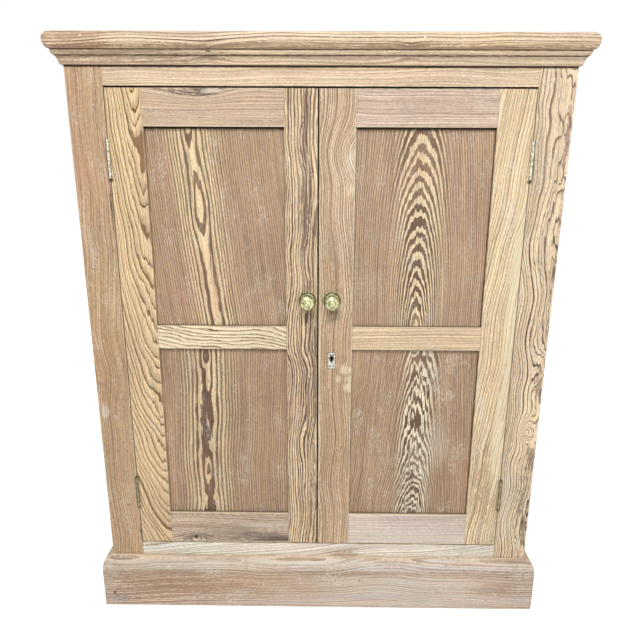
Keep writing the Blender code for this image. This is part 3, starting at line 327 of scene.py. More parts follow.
class Pine(Graph):
    """Sawn pine. The rings are cylinders round a pith line that runs behind the face, wander and all."""

    def __init__(self, name, low, high, axes, grain):
        super().__init__(name)
        self.grain = grain
        place = self.place()
        middle = (low + high) / 2
        self.across = place[axes[0]] - getattr(middle, axes[0])
        self.along = place[axes[1]] - getattr(middle, axes[1])
        self.depth = place[axes[2]] - getattr(low, axes[2])
        self.half_width = getattr(high - low, axes[0]) / 2
        inwards = self.depth / MARK_DEPTH
        self.inwards = inwards * inwards
        self.broad = self.board_noise(BROAD_WAVES)
        self.fine = self.board_noise(FINE_WAVES, detail=1.0)
        self.cores = []
        self.grow()
        self.streak = self.board_noise(STREAKS, detail=3.0, across=self.flow)
        self.fibre = self.board_noise(FIBRES, across=self.flow)
        self.dust = self.board_noise(DUST)
        self.cloud = self.board_noise(CHALK_CLOUDS, detail=3.0, shift=60)

    def board_noise(self, scale, detail=2.0, shift=0, across=None):
        """Noise at one of the scales above, stretched along the board."""
        across = across or self.across
        inwards = self.seed + shift
        if len(scale) > 2:
            inwards = self.depth * scale[2] + inwards
        return self.noise(across * scale[0], self.along * scale[1], inwards, detail)

    def spread_round(self, at_across, at_along, reach_across, reach_along):
        """0 in the middle of a mark on the face, 1 at its reach, and growing as a square."""
        sideways = (self.across - at_across * MM) / (reach_across * MM)
        lengthways = (self.along - at_along * MM) / (reach_along * MM)
        return sideways * sideways + lengthways * lengthways + self.inwards

    def grow(self):
        """Finds the point's place in the log: years from the pith, off its side, and along which fibre."""
        grain = self.grain
        wander = self.board_noise((5, grain.wave), detail=1.0) * (grain.wander * 3)
        roll = self.board_noise((9, grain.wave * 1.3), detail=1.0, shift=7) * (grain.roll * 3)
        aside = self.across - grain.centre + self.along * -grain.slant + wander
        behind = self.depth + self.along * grain.lean + roll + grain.pith
        distance = self.math("SQRT", aside * aside + behind * behind)
        below = self.math("MINIMUM", self.along - grain.turn, 0.0)
        warped = distance + self.along * grain.taper + below * below * grain.bend
        self.off = self.math("ABSOLUTE", aside)
        # The rings are rough near the pith and a quarter as rough away from it.
        rough = self.step(self.off, grain.reach * 0.3, grain.reach * 1.1) * -0.75 + 1.0
        warped = warped + (self.broad * grain.swirl + self.fine * grain.jag) * rough * grain.ring
        self.flow = aside
        for at_across, at_along, reach_across, reach_along, push, darkness in grain.eyes:
            spread = self.spread_round(at_across, at_along, reach_across, reach_along)
            pushed = self.math("EXPONENT", spread * -1.0) * (push * MM)
            warped = warped + pushed
            self.flow = self.flow + pushed * (aside / distance)
            if darkness:
                self.cores.append(self.step(spread + self.fine * 0.3, 0.35, 0.05) * darkness)
        self.years = warped / grain.ring + grain.start

    def late_wood(self):
        """0 in early wood and up to 1 in late wood, which ends each year with a dark line."""
        grain = self.grain
        slow = self.noise(self.years * 0.23, self.seed + 9, 0.0)
        uneven = self.noise(self.years * 0.55, self.seed, 0.0) * grain.uneven + slow * grain.uneven
        year = self.math("FRACT", self.years + uneven)
        start = uneven * 0.1 + (1.0 - grain.late_share)
        late = self.step(year, start - grain.soften, start + grain.soften * 0.7) * grain.body
        line = self.step(year, grain.line, grain.line + 0.07)
        return self.math("MAXIMUM", late, line) * self.step(year, 1.0, 0.96)

    def rings(self, late):
        """Colour of the rings, bold near the pith. Some years are darker than others."""
        grain = self.grain
        strength = self.noise(self.years * 0.31, self.seed + 3.0, self.along * 2.0) * 0.5 + 0.93
        bold = self.mix(late * strength * grain.contrast, *grain.figure)
        side = self.along * 2.0 + self.across * 4.0
        strength = self.noise(self.years * 0.47, self.seed + 5.0, side) * 1.2 + 0.9
        soft = self.mix((late - 0.5) * strength * grain.plain_contrast + 0.5, *grain.plain)
        shown = self.step(self.off + self.broad * 0.006, grain.reach + grain.fade, grain.reach - grain.fade)
        return self.mix(shown, soft, bold)

    def fibrous(self, colour):
        """The colour with fibres, pores and warm clouds."""
        grain = self.grain
        rough = (self.streak * 0.46 + self.fibre * 0.30 + self.dust * 0.26) * grain.fuzz
        colour = self.shaded(colour, rough + self.board_noise(BLOTCHES, shift=20) * 0.26 + 1.0)
        warm = self.board_noise(WARM_CLOUDS, shift=40)
        colour = self.mix(self.step(warm, 0.02, 0.5) * (0.24 * grain.tint), colour, ROSY)
        colour = self.mix(self.step(warm, -0.04, -0.5) * (0.16 * grain.tint), colour, STRAW)
        pores = self.step(self.fibre + self.streak * 0.4, 0.30, 0.50)
        return self.mix(pores * (0.45 * grain.fuzz), colour, PORE)

    def chalkiness(self):
        """How much pale dust and how many pale scratches cover the point."""
        dusty = self.step(self.cloud, 0.0, 0.55) * self.step(self.dust, -0.05, 0.30)
        scratch = self.math("ABSOLUTE", self.board_noise(SCRATCHES, shift=80))
        scuffed = self.step(scratch, 0.10, 0.02) * self.step(self.cloud + self.dust * 0.3, 0.02, 0.35)
        return self.math("MINIMUM", dusty * (self.grain.chalk * 2.2) + scuffed * self.grain.scuffs, 0.85)

    def marked(self, colour, late):
        """The colour with stains, knots, spots, painted shadows and painted highlights. Purple stains follow
        the late wood, others leave it.
        """
        ragged = self.streak * 2.6 + self.fibre * 1.8 + self.cloud * 1.2 + self.dust * 0.8
        for at_across, at_along, reach_across, reach_along, stain, share in self.grain.patches:
            spread = self.spread_round(at_across, at_along, reach_across, reach_along) + ragged
            taken_up = late * 0.35 + 0.65 if stain == PURPLE else late * -0.35 + 1.0
            colour = self.mix(self.step(spread, 1.1, 0.1) * taken_up * share, colour, stain)
        for core in self.cores:
            colour = self.mix(core, colour, SHADE_AND_SOOT)
        for at_across, at_along, radius, stain in self.grain.spots:
            spread = self.spread_round(at_across, at_along, radius, radius)
            colour = self.mix(self.step(spread, 1.4, 0.6) * 0.85, colour, stain)
        return colour

    def edged(self, colour):
        """The colour with rubbed edges and their painted highlight, dirt and painted shade on the narrow
        sides, and dark seams.
        """
        grain = self.grain
        margin = self.half_width - self.math("ABSOLUTE", self.across)
        # Rubbed edges: paler where worn, with a painted highlight along the arris.
        waver = self.noise(self.along * EDGE_WAVES, self.seed, 0.0, detail=3.0) * RUB_WAVER
        rubbed = self.step(margin + waver, RUBBED_WIDTH, BARE_WIDTH)
        colour = self.mix(rubbed * grain.rub, colour, RUBBED_AND_HIGHLIGHT)
        # Dirt and painted shade on the narrow sides, which darken the gaps round the doors.
        gap_shade_and_dirt = self.step(self.depth, SHADE_AND_DIRT_TOP, SHADE_AND_DIRT_FULL) * self.step(margin, SHADE_AND_DIRT_END, SHADE_AND_DIRT_OUTSIDE)
        colour = self.mix(gap_shade_and_dirt * grain.edge_dirt_and_shade, colour, GAP_SHADE_AND_DIRT)
        # Seams: dark lines of painted shade, and of dirt at the joints of the back boards.
        for direction, at, reach, share in grain.seams:
            line = self.math("ABSOLUTE", (self.along if direction == "along" else self.across) - at * MM)
            dark = self.step(line + self.fibre * 0.001, reach * MM, reach * MM * 0.35)
            colour = self.mix(dark * share, colour, SHADE_AND_SOOT)
        return colour

    def drawn(self):
        """The finished material."""
        late = self.late_wood()
        chalky = self.chalkiness()
        colour = self.mix(chalky, self.fibrous(self.rings(late)), CHALK)
        colour = self.edged(self.marked(colour, late))
        self.bump(self.streak * 0.6 + self.fibre * 0.4 - late * 0.4, *WOOD_BUMP)
        return self.finish(colour, WOOD_ROUGHNESS - late * 0.10 + chalky * 0.2, specular=WOOD_SPECULAR)


def tarnished(g, place, seed, size, bright, dull):
    """Colour of worn metal, how tarnished it is from 0 to 1, and its specks. Size is that of its patches."""
    x, y, z = (place[axis] for axis in "xyz")
    cloud = g.noise(x / size, y / size, z / size + seed, detail=2.0)
    speck = g.noise(x / (size * 0.2), y / (size * 0.2), z / (size * 0.2) + seed, detail=2.0)
    tarnish = g.step(cloud + speck * 0.3, -0.35, 0.45)
    return g.mix(tarnish, bright, dull), tarnish, speck


def metal(name, bright, dull, roughness, size, metallic=1.0):
    """Worn metal with soft patches of tarnish."""
    g = Graph(name)
    colour, tarnish, speck = tarnished(g, g.place(), g.seed, size, bright, dull)
    g.bump(speck, *METAL_BUMP)
    return g.finish(colour, tarnish * 0.15 + speck * 0.05 + roughness, metallic=metallic)


def turned_brass(name, centre_x, centre_z, lines):
    """Brass turned on a lathe. A line is (radius, reach, share): a dark ring round the axis. The tables below
    say which rings are dirt and which are painted shade.
    """
    g = Graph(name)
    place = g.place()
    colour, tarnish, speck = tarnished(g, place, g.seed, 0.006, BRASS_BRIGHT, BRASS_DULL)
    x, z = place["x"] - centre_x, place["z"] - centre_z
    radius = g.math("SQRT", x * x + z * z)
    for line, reach, share in lines:
        near = g.step(g.math("ABSOLUTE", radius - line) + speck * 0.0004, reach, reach * 0.2)
        colour = g.mix(near * share, colour, METAL_DIRT_AND_SHADE)
    turning = g.noise(radius * 3000, g.seed, 0.0)
    g.bump(turning * 0.3 + speck * 0.9, *BRASS_BUMP)
    return g.finish(colour, tarnish * 0.14 + 0.28, metallic=0.85)


def hinge_steel(name, highlight_x, bright, dull):
    """Worn steel, with a painted highlight down one line of the knuckles and painted shade on their sides."""
    g = Graph(name)
    place = g.place()
    colour, tarnish, speck = tarnished(g, place, g.seed, 0.006, bright, dull)
    aside = g.math("ABSOLUTE", place["x"] - highlight_x) + speck * 0.0012
    # Painted shade on the sides of the knuckles, away from the highlight line.
    colour = g.mix(g.step(aside, 0.0017, 0.0026) * 0.85, colour, HINGE_SHADE)
    g.bump(speck, *METAL_BUMP)
    return g.finish(colour, tarnish * 0.15 + 0.36, metallic=0.7)


def key_plate(name, node, hole_x, hole_z):
    """Dull nickel, with painted shade along the edges of the plate, and darker round its keyhole."""
    g = Graph(name)
    place = g.place()
    colour, tarnish, speck = tarnished(g, place, 3.0, 0.005, NICKEL_BRIGHT, NICKEL_DULL)
    low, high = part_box(node)
    sideways = (high.x - low.x) / 2 - g.math("ABSOLUTE", place["x"] - (low.x + high.x) / 2)
    upwards = (high.z - low.z) / 2 - g.math("ABSOLUTE", place["z"] - (low.z + high.z) / 2)
    margin = g.math("MINIMUM", sideways, upwards) + speck * 0.0004
    # Painted shade along the edges of the plate.
    colour = g.mix(g.step(margin, 0.0016, 0.0004) * 0.8, colour, METAL_DIRT_AND_SHADE)
    # Darker round the keyhole.
    x, z = place["x"] - hole_x, (place["z"] - hole_z) * 0.8
    radius = g.math("SQRT", x * x + z * z) + speck * 0.0006
    colour = g.mix(g.step(radius, 0.0068, 0.0052) * 0.85, colour, METAL_DIRT_AND_SHADE)
    g.bump(speck, *METAL_BUMP)
    return g.finish(colour, tarnish * 0.15 + 0.34, metallic=0.7)


# Axes of a board: across its width, along its length, and through its thickness.
UPRIGHT = "xzy"
LEVEL = "zxy"
SIDE_UPRIGHT = "yzx"
SIDE_LEVEL = "zyx"
SHELF = "yxz"
BEARER = "xyz"

# Seams of painted shade round the panels, under the mould and at the head of the doors.
LIP = ("along", 205, 3.8, 0.95)
FOOT = ("along", -205.8, 1.6, 0.5)
CORNERS = (LIP, FOOT, ("across", 141.6, 2, 0.6), ("across", -141.6, 2.2, 0.6))
RIGHT_CORNERS = (LIP, FOOT, ("across", 140, 3, 0.85), ("across", -140.2, 2, 0.6))
UNDER_MOULD = ("along", 603.9, 3.4, 0.9)
STILE_HEAD = ("along", 514.3, 1.3, 0.7)
DOOR_HEAD = ("across", 36.3, 1.3, 0.7)

GRAINS = {
    "frame_left_stile": (UPRIGHT, Grain(
        centre=-0.16, slant=0.012, ring=0.0052, wander=0.008, wave=5.0, swirl=1.4,
        plain=(tone(87, 75, 61), tone(65, 53, 41)), plain_contrast=0.55, late_share=0.5, soften=0.3,
        seams=(UNDER_MOULD,), fuzz=1.4, tint=0.7, chalk=0.2, scuffs=0.4,
        patches=(
            (-20, 440, 26, 140, ROSY, 0.45), (0, 20, 40, 120, AMBER, 0.3), (34, 330, 2.2, 45, SHADE_AND_SOOT, 1.0),
            (-23, -126, 7, 22, CHALK, 0.8), (35, -440, 2, 35, SHADE_AND_SOOT, 0.9)),
        spots=(
            (11.6, -364.6, 3, BROWN), (-29.8, -407.3, 1.8, CHALK), (-39.3, 474.7, 1.8, CHALK),
            (36.2, 387, 3.6, SHADE_AND_SOOT), (36.2, -370, 3.6, SHADE_AND_SOOT)))),
    "frame_right_stile": (UPRIGHT, Grain(
        centre=0.045, pith=0.04, lean=0.02, ring=0.0054, wander=0.014, wave=5.5, roll=0.008, jag=0.6,
        uneven=0.7, figure=KNOTTY, plain=KNOTTY, contrast=1.0, plain_contrast=1.0, reach=0.06, fade=0.03,
        late_share=0.3, soften=0.12, body=0.42, line=0.76, seams=(UNDER_MOULD,), fuzz=1.3, tint=0.5,
        chalk=0.2,
        eyes=(
            (10, -166, 17, 30, -26, 0), (8, -172, 6, 12, -8, 0.25), (26, 530, 8, 50, 4, 0),
            (34, 290, 16, 50, 14, 0), (30, -10, 16, 45, 14, 0)),
        patches=(
            (0, 450, 40, 220, tone(84, 76, 65), 0.25), (26, -50, 10, 30, PURPLE, 0.8),
            (27, -236, 10, 40, PURPLE, 0.9), (14, -330, 8, 60, PURPLE, 0.9), (26, -430, 7, 60, PURPLE, 0.8),
            (30, 450, 5, 90, tone(62, 48, 46), 0.7), (33, 200, 5, 50, UMBER, 0.7),
            (30, 80, 4, 50, PURPLE, 0.7), (32, 330, 6, 100, PURPLE, 0.6), (6, -140, 16, 12, CREAM, 0.3),
            (-20, -360, 10, 100, CHALK, 0.35)),
        spots=((-36.2, 387, 3.6, SHADE_AND_SOOT), (-36.2, -370, 3.6, SHADE_AND_SOOT)))),
    "frame_top_rail": (LEVEL, Grain(
        centre=0.075, slant=0.01, ring=0.0042, plain=(tone(93, 84, 72), tone(74, 63, 51)),
        plain_contrast=0.7, late_share=0.35, soften=0.25, tint=0.3, rub=0.4,
        patches=((-31.5, -46, 2, 14, SHADE_AND_SOOT, 0.9), (-31.5, 240, 1.2, 8, SHADE_AND_SOOT, 0.7)),
        # Painted shade under the mould and above the doors.
        seams=(("across", 4.6, 3.4, 0.92), ("across", -32.1, 1.3, 0.8)))),
    "frame_bottom_rail": (LEVEL, Grain(
        centre=0.11, slant=0.11, ring=0.006, plain=(tone(99, 96, 91), tone(74, 66, 57)), plain_contrast=1.2,
        late_share=0.35, body=0.6, tint=0.2, chalk=0.5, scuffs=0.5, rub=0.4,
        patches=((0, 55, 20, 45, tone(66, 50, 36), 0.7),))),
    "left_door_hinge_stile": (UPRIGHT, Grain(
        centre=0.042, slant=-0.036, pith=0.07, lean=-0.115, turn=0.1, bend=0.1, ring=0.0056, wander=0.003,
        wave=6.0, roll=0.0025, swirl=0.9, uneven=0.85, figure=HONEY, plain=HONEY, contrast=1.0,
        plain_contrast=1.0, reach=0.05, fade=0.2, late_share=0.38, soften=0.34, body=0.45, line=0.77,
        seams=(STILE_HEAD,), fuzz=1.15, tint=0.8,
        spots=((-35.5, 337, 3.6, SHADE_AND_SOOT), (-35.5, -419, 3.6, SHADE_AND_SOOT)))),
    "left_door_meeting_stile": (UPRIGHT, Grain(
        centre=0.05, pith=0.02, taper=0.02, ring=0.0056, wander=0.006, wave=6.0, swirl=0.9,
        figure=(tone(90, 80, 66), tone(44, 34, 28)), contrast=1.05, reach=0.2, soften=0.1,
        # Painted shade at the head of the door and along the gap between the doors.
        seams=(STILE_HEAD, ("across", 33.45, 1.2, 0.6)), fuzz=1.2,
        eyes=(
            (14, 420, 8, 100, 3, 0), (22, 240, 7, 90, -3, 0), (14, 20, 8, 80, 3, 0),
            (10, -180, 8, 100, 3, 0), (20, -330, 8, 100, -3, 0)),
        patches=(
            (12, 360, 12, 180, PURPLE, 0.9), (20, 200, 8, 200, PURPLE, 0.8), (28, 400, 3, 100, CREAM, 0.8),
            # The dark patch at (12.4, 61) is the painted shadow under the knob.
            (29, 100, 3, 100, CREAM, 0.7), (12.4, 61, 13, 7, SHADE_AND_SOOT, 0.45), (14, 80, 4, 100, PURPLE, 0.7),
            (28, -60, 6, 120, PURPLE, 0.7), (13, -200, 4, 120, PURPLE, 0.9),
            (24, -360, 8, 140, PURPLE, 1.0), (14, 360, 1.8, 80, CREAM, 0.8), (24, 300, 1.8, 50, CREAM, 0.8),
            (19, 430, 1.4, 50, CREAM, 0.7), (20, 200, 2, 60, CREAM, 0.8), (30, 170, 2, 40, CREAM, 0.8),
            (21, -300, 3, 50, CREAM, 0.8), (26, 75, 5, 30, STRAW, 0.5)))),
    "left_door_top_rail": (LEVEL, Grain(
        centre=0.09, ring=0.0046, plain=(tone(88, 78, 67), tone(66, 56, 46)), late_share=0.3, soften=0.25,
        line=0.76, seams=(DOOR_HEAD,), tint=0.3, rub=0.5,
        eyes=((38, -30, 26, 60, -26, 0), (38, -28, 14, 30, -6, 0.95)),
        patches=(
            (36, -30, 14, 60, tone(36, 31, 29), 1.0), (31, -2, 4, 24, CHALK, 0.8),
            # The pale patch at (-36.5, 0) along the lower arris is a painted highlight on the worn edge.
            (-36.5, 0, 1.6, 400, CHALK, 0.7)))),
    "left_door_middle_rail": (LEVEL, Grain(
        centre=-0.12, slant=-0.13, pith=0.02, ring=0.009, wander=0.01, wave=5.0, uneven=0.5,
        figure=(tone(100, 93, 79), tone(52, 38, 25)), contrast=1.1, reach=1.0, late_share=0.38, soften=0.3,
        body=0.45, line=0.76, tint=0.3, rub=0.5)),
    "left_door_bottom_rail": (LEVEL, Grain(
        centre=-0.1, ring=0.005, plain=(tone(85, 76, 67), tone(59, 50, 42)), plain_contrast=1.0,
        late_share=0.35, fuzz=1.3, tint=0.4, chalk=0.2, scuffs=0.5, rub=0.9,
        eyes=((-26, -83, 16, 34, -18, 0), (-26, -83, 7, 9, -8, 0.9)),
        patches=(
            (-8, -85, 6, 90, CHALK, 0.4), (-26, -80, 8, 50, GREY, 0.8), (-28, 85, 16, 75, GREY, 1.0),
            (-32, 115, 7, 35, SHADE_AND_SOOT, 0.8), (6, 90, 6, 60, CHALK, 0.5),
            (-20, 0, 20, 160, tone(62, 56, 50), 0.5)))),
    "left_door_upper_panel": (UPRIGHT, Grain(
        centre=-0.03, slant=-0.1, pith=0.034, ring=0.0047, wander=0.002, wave=4.0, roll=0.0005, swirl=0.35,
        jag=0.25, uneven=0.35, start=0.02, figure=PANEL_FIGURE, plain=PANEL, plain_contrast=0.7,
        reach=0.046, fade=0.02, soften=0.1, seams=CORNERS, fuzz=1.15, chalk=0.12, scuffs=0.3,
        eyes=((-34, 50, 24, 60, -5, 0), (-55, 235, 14, 60, -6, 0)),
        patches=(
            (-60, 130, 10, 130, PURPLE, 0.45), (-16, 60, 9, 170, PURPLE, 0.4),
            (-110, 130, 20, 50, ROSY, 0.35)))),
    "left_door_lower_panel": (UPRIGHT, Grain(
        centre=-0.044, slant=0.02, pith=0.044, ring=0.0052, wander=0.003, wave=7.0, roll=0.0002, swirl=0.45,
        jag=0.35, uneven=0.25, start=0.22, figure=PANEL_FIGURE, plain=PANEL, plain_contrast=0.8,
        reach=0.048, fade=0.02, late_share=0.5, soften=0.08, seams=CORNERS, fuzz=1.3, chalk=0.12, scuffs=0.3,
        eyes=((-40, 188, 10, 20, -5.2, 0), (-36, 128, 6, 26, -3.4, 0), (-46, -94, 8, 28, -3.6, 0)),
        patches=((-50, 20, 5, 90, PURPLE, 0.7),))),
    "right_door_meeting_stile": (UPRIGHT, Grain(
        centre=-0.11, ring=0.0046, wander=0.008, wave=5.0, plain=(tone(89, 79, 67), tone(56, 45, 34)),
        plain_contrast=0.8, late_share=0.35, soften=0.25, seams=(STILE_HEAD,), fuzz=1.3, tint=0.4, rub=0.6,
        eyes=(
            (40, 392, 66, 50, 36, 0), (30, -70, 10, 12, 8, 0), (34, -110, 12, 14, 10, 0),
            (-20, 180, 14, 60, 6, 0)),
        patches=(
            (26, 375, 12, 26, CHALK, 0.6), (28, 320, 10, 14, GLARE, 0.7), (-5, -170, 60, 340, AMBER, 0.25),
            (24, -70, 11, 11, GLARE, 0.9), (31, -92, 10, 9, GLARE, 0.9), (28, -112, 11, 11, GLARE, 0.9),
            # The dark patch at (-7.9, 61) is the painted shadow under the knob.
            (8, -92, 7, 7, GLARE, 0.5), (-34, -100, 2.6, 360, RUBBED_AND_HIGHLIGHT, 0.9), (-7.9, 61, 13, 7, SHADE_AND_SOOT, 0.45)))),
    "right_door_hinge_stile": (UPRIGHT, Grain(
        centre=-0.2, slant=0.12, pith=0.03, ring=0.0064, wander=0.006, wave=5.0, swirl=1.2,
        plain=(tone(96, 87, 72), tone(62, 49, 34)), plain_contrast=1.0, late_share=0.32, soften=0.3,
        body=0.5, seams=(STILE_HEAD,), tint=0.6, chalk=0.2, scuffs=0.6,
        patches=(
            (26, 50, 12, 260, GLARE, 0.8), (20, -250, 13, 120, GLARE, 0.8), (-6, -380, 26, 140, BROWN, 0.45)),
        spots=((35.5, 337, 3.6, SHADE_AND_SOOT), (35.5, -419, 3.6, SHADE_AND_SOOT)))),
    "right_door_top_rail": (LEVEL, Grain(
        centre=0.12, ring=0.0044, plain=(tone(89, 80, 72), tone(66, 57, 49)), plain_contrast=0.8,
        late_share=0.3, soften=0.25, seams=(DOOR_HEAD,), tint=0.2, rub=0.5)),
    "right_door_middle_rail": (LEVEL, Grain(
        centre=0.11, ring=0.0042, plain=(tone(95, 86, 72), tone(70, 58, 46)), plain_contrast=0.8,
        late_share=0.35, soften=0.25, tint=0.4, rub=0.5)),
    "right_door_bottom_rail": (LEVEL, Grain(
        centre=0.14, ring=0.0046, plain=(tone(97, 91, 86), tone(73, 65, 60)), plain_contrast=0.7, fuzz=1.1,
        tint=0.2, chalk=0.5, scuffs=0.5, rub=0.9,
        patches=((-20, 0, 20, 200, CHALK, 0.5),))),
    "right_door_upper_panel": (UPRIGHT, Grain(
        centre=-0.006, slant=-0.01, pith=0.046, lean=0.17, taper=-0.03, ring=0.0042, wander=0.002,
        roll=0.001, swirl=0.5, jag=0.4, uneven=0.5, figure=(tone(92, 83, 68), tone(46, 37, 30)),
        plain=(tone(81, 70, 59), tone(60, 49, 39)), contrast=1.05, plain_contrast=0.8, reach=0.042,
        fade=0.018, late_share=0.55, soften=0.06, seams=RIGHT_CORNERS, fuzz=1.25)),
    "right_door_lower_panel": (UPRIGHT, Grain(
        centre=0.0105, slant=0.026, pith=0.034, lean=0.06, taper=0.05, turn=0.06, bend=-0.15, ring=0.0046,
        wave=6.0, roll=0.004, swirl=1.0, jag=0.9, uneven=0.7, figure=(tone(94, 88, 77), tone(44, 35, 28)),
        plain=PANEL, contrast=1.05, plain_contrast=0.7, fade=0.014, late_share=0.5, soften=0.06,
        seams=RIGHT_CORNERS, fuzz=1.2, chalk=0.15, scuffs=0.45,
        patches=(
            (60, -20, 30, 60, CHALK, 0.35), (16, 170, 10, 40, PURPLE, 0.6), (12, 90, 8, 30, PURPLE, 0.5),
            (6, -120, 8, 30, PURPLE, 0.5)))),
    "top_board": (LEVEL, Grain(
        centre=-0.045, pith=-0.02, ring=0.0054, wander=0.005, roll=0.004,
        plain=(tone(93, 84, 72), tone(38, 28, 19)), plain_contrast=1.15, late_share=0.36, soften=0.2,
        body=0.5, line=0.74,
        eyes=((-14.5, -213, 12, 34, 6, 0), (-15.8, -213, 4, 10, 3, 0.8), (-14.5, 170, 10, 30, 6, 0)),
        # The long dark patch low on the nose is painted shade under its curve.
        patches=((-13, 0, 7.5, 900, tone(58, 46, 35), 0.55), (0, -480, 30, 100, tone(66, 48, 35), 0.5)),
        spots=((5.5, -451.3, 2, CHALK), (5, 20.6, 1.8, CHALK), (3.7, 196.5, 1.8, CHALK)))),
    "bed_mould_front": (LEVEL, Grain(
        centre=0.06, ring=0.0042, plain=(tone(97, 88, 76), tone(69, 58, 46)), late_share=0.35, soften=0.25,
        eyes=((6, -213, 12, 30, 8, 0), (9, -213, 3, 12, 3, 0.7), (6, 170, 12, 30, 8, 0)),
        patches=((0, -420, 30, 200, tone(56, 45, 35), 0.5),),
        # Painted shade under the nose of the top and under the bead of the mould.
        seams=(("across", 13, 2.4, 0.85), ("across", 2.6, 1.4, 0.8)))),
    "plinth_front": (LEVEL, Grain(
        centre=0.14, slant=0.008, ring=0.005, wander=0.008, swirl=1.4,
        plain=(tone(90, 82, 74.5), tone(66, 56, 48)), plain_contrast=0.8, fuzz=1.5, chalk=0.4, scuffs=0.7,
        patches=(
            (-10, -360, 50, 180, tone(64, 48, 30), 0.5), (0, -150, 40, 160, tone(78, 64, 48), 0.35),
            (48, -280, 13, 240, CHALK, 0.55), (50, 240, 14, 340, tone(93, 91, 89), 0.7),
            (-40, 260, 22, 300, tone(88, 86, 86), 0.45), (30, 120, 8, 140, RUST, 0.45),
            (0, 220, 30, 220, CHALK, 0.6), (56, -50, 8, 300, CHALK, 0.5), (-52, 50, 10, 300, CHALK, 0.5),
            (-10, 440, 18, 60, RUST, 0.4), (-45, -480, 14, 50, GREY, 0.5)),
        spots=(
            (-29, -497, 3.4, SHADE_AND_SOOT), (-22, -512, 1.8, SHADE_AND_SOOT), (19.5, 487, 2.2, CHALK), (12, 100, 2, SHADE_AND_SOOT),
            (0, -360, 1.6, SHADE_AND_SOOT), (60, -182, 2.6, CHALK)))),
    "bed_mould_left": (SIDE_LEVEL, Grain(centre=0.06, ring=0.0042, plain=MOULD_END)),
    "bed_mould_right": (SIDE_LEVEL, Grain(centre=0.06, ring=0.0042, plain=MOULD_END)),
    "plinth_left": (SIDE_LEVEL, Grain(centre=0.14, ring=0.0046, plain=PLINTH_END, chalk=0.3, scuffs=0.5)),
    "plinth_right": (SIDE_LEVEL, Grain(centre=0.12, ring=0.0046, plain=PLINTH_END, chalk=0.3, scuffs=0.5)),
    "left_side": (SIDE_UPRIGHT, Grain(centre=0.03, pith=0.04, taper=0.03, plain=PANEL)),
    "right_side": (SIDE_UPRIGHT, Grain(centre=-0.04, pith=0.04, taper=-0.03, plain=PANEL)),
    "floor_board": (SHELF, Grain(centre=0.06, pith=0.07, ring=0.005, plain=DRY, contrast=0.6)),
    "lower_shelf": (SHELF, Grain(centre=-0.05, pith=0.07, ring=0.005, plain=DRY, contrast=0.6)),
    "middle_shelf": (SHELF, Grain(centre=0.09, pith=0.08, ring=0.005, plain=DRY, contrast=0.6)),
    "upper_shelf": (SHELF, Grain(pith=0.06, ring=0.005, plain=DRY, contrast=0.6)),
    "top_stop": (LEVEL, Grain(centre=0.12, plain=DRY)),
}
# The joints of the back boards show a little to the side of each board's box.
JOINT_SIDE = 0.0004
BACK_JOINTS = [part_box(f"back_board_{number}")[0].x - JOINT_SIDE for number in (2, 3, 4)]
for number in (1, 2, 3, 4):
    low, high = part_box(f"back_board_{number}")
    seams = tuple(("across", (joint - (low.x + high.x) / 2) / MM, 2, 0.85) for joint in BACK_JOINTS)
    GRAINS[f"back_board_{number}"] = (UPRIGHT, Grain(
        centre=0.05 * (number - 2.5), taper=0.03 * (-1) ** number, ring=0.005, plain=DRY, contrast=0.6,
        seams=seams))
for shelf in ("lower", "middle", "upper"):
    for side in ("left", "right"):
        GRAINS[f"{shelf}_shelf_{side}_bearer"] = (BEARER, Grain(centre=0.1, plain=DRY))
# Dirt and painted shade on the narrow sides of the doors and frame: lighter on the frame stiles and hinge
# stiles, darker on the rest.
for node, (axes, grain) in GRAINS.items():
    if node.startswith(("frame_", "left_door_", "right_door_")):
        grain.edge_dirt_and_shade = 0.3 if node.endswith(("left_stile", "right_stile", "hinge_stile")) else 0.75

# Worn boards: size of the rounding, length of the slices, depth of the rubbing, how far a normal leans both
# ways on an arris, and the angles that count as one flat face and as an arris.
ARRIS = 0.0009
SLICE_LENGTH = 0.03
RUB_DEPTH = ARRIS * 0.6
LEANING = 0.3
FLAT_ANGLE = math.radians(1)
ARRIS_ANGLE = math.radians(50)
SAME_POINT = 1e-6


def rounded(mesh):
    """The shape of a CAD mesh with its arrises rounded."""
    bm = bmesh.new()
    bm.from_mesh(mesh)
    bmesh.ops.remove_doubles(bm, verts=bm.verts, dist=SAME_POINT)
    bmesh.ops.dissolve_limit(bm, angle_limit=FLAT_ANGLE, verts=bm.verts, edges=bm.edges)
    sharp = [edge for edge in bm.edges
             if len(edge.link_faces) == 2 and edge.is_convex and edge.calc_face_angle() > ARRIS_ANGLE]
    bmesh.ops.bevel(bm, geom=sharp, offset=ARRIS, segments=2, profile=0.5, affect="EDGES", clamp_overlap=True)
    return bm


def slice_up(bm, low, high, way):
    """Cuts the shape across its length, so that its edges can wear unevenly."""
    normal = Vector((0, 0, 0))
    normal[way] = 1
    count = max(1, round((high[way] - low[way]) / SLICE_LENGTH))
    for number in range(1, count):
        at = Vector((0, 0, 0))
        at[way] = low[way] + (high[way] - low[way]) * number / count
        geometry = bm.verts[:] + bm.edges[:] + bm.faces[:]
        bmesh.ops.bisect_plane(bm, geom=geometry, dist=SAME_POINT, plane_co=at, plane_no=normal)


def rub_edges(bm, seed, first, second):
    """Rubs the long rounded edges down here and there. First and second are the axes across such an edge."""
    bm.normal_update()
    for vertex in bm.verts:
        out = vertex.normal
        if abs(out[first]) > LEANING and abs(out[second]) > LEANING:
            rub = 0.5 + 0.9 * noise.noise(vertex.co * 9 + seed) + 0.5 * noise.noise(vertex.co * 60 + seed)
            vertex.co -= out * (RUB_DEPTH * max(0.0, rub))


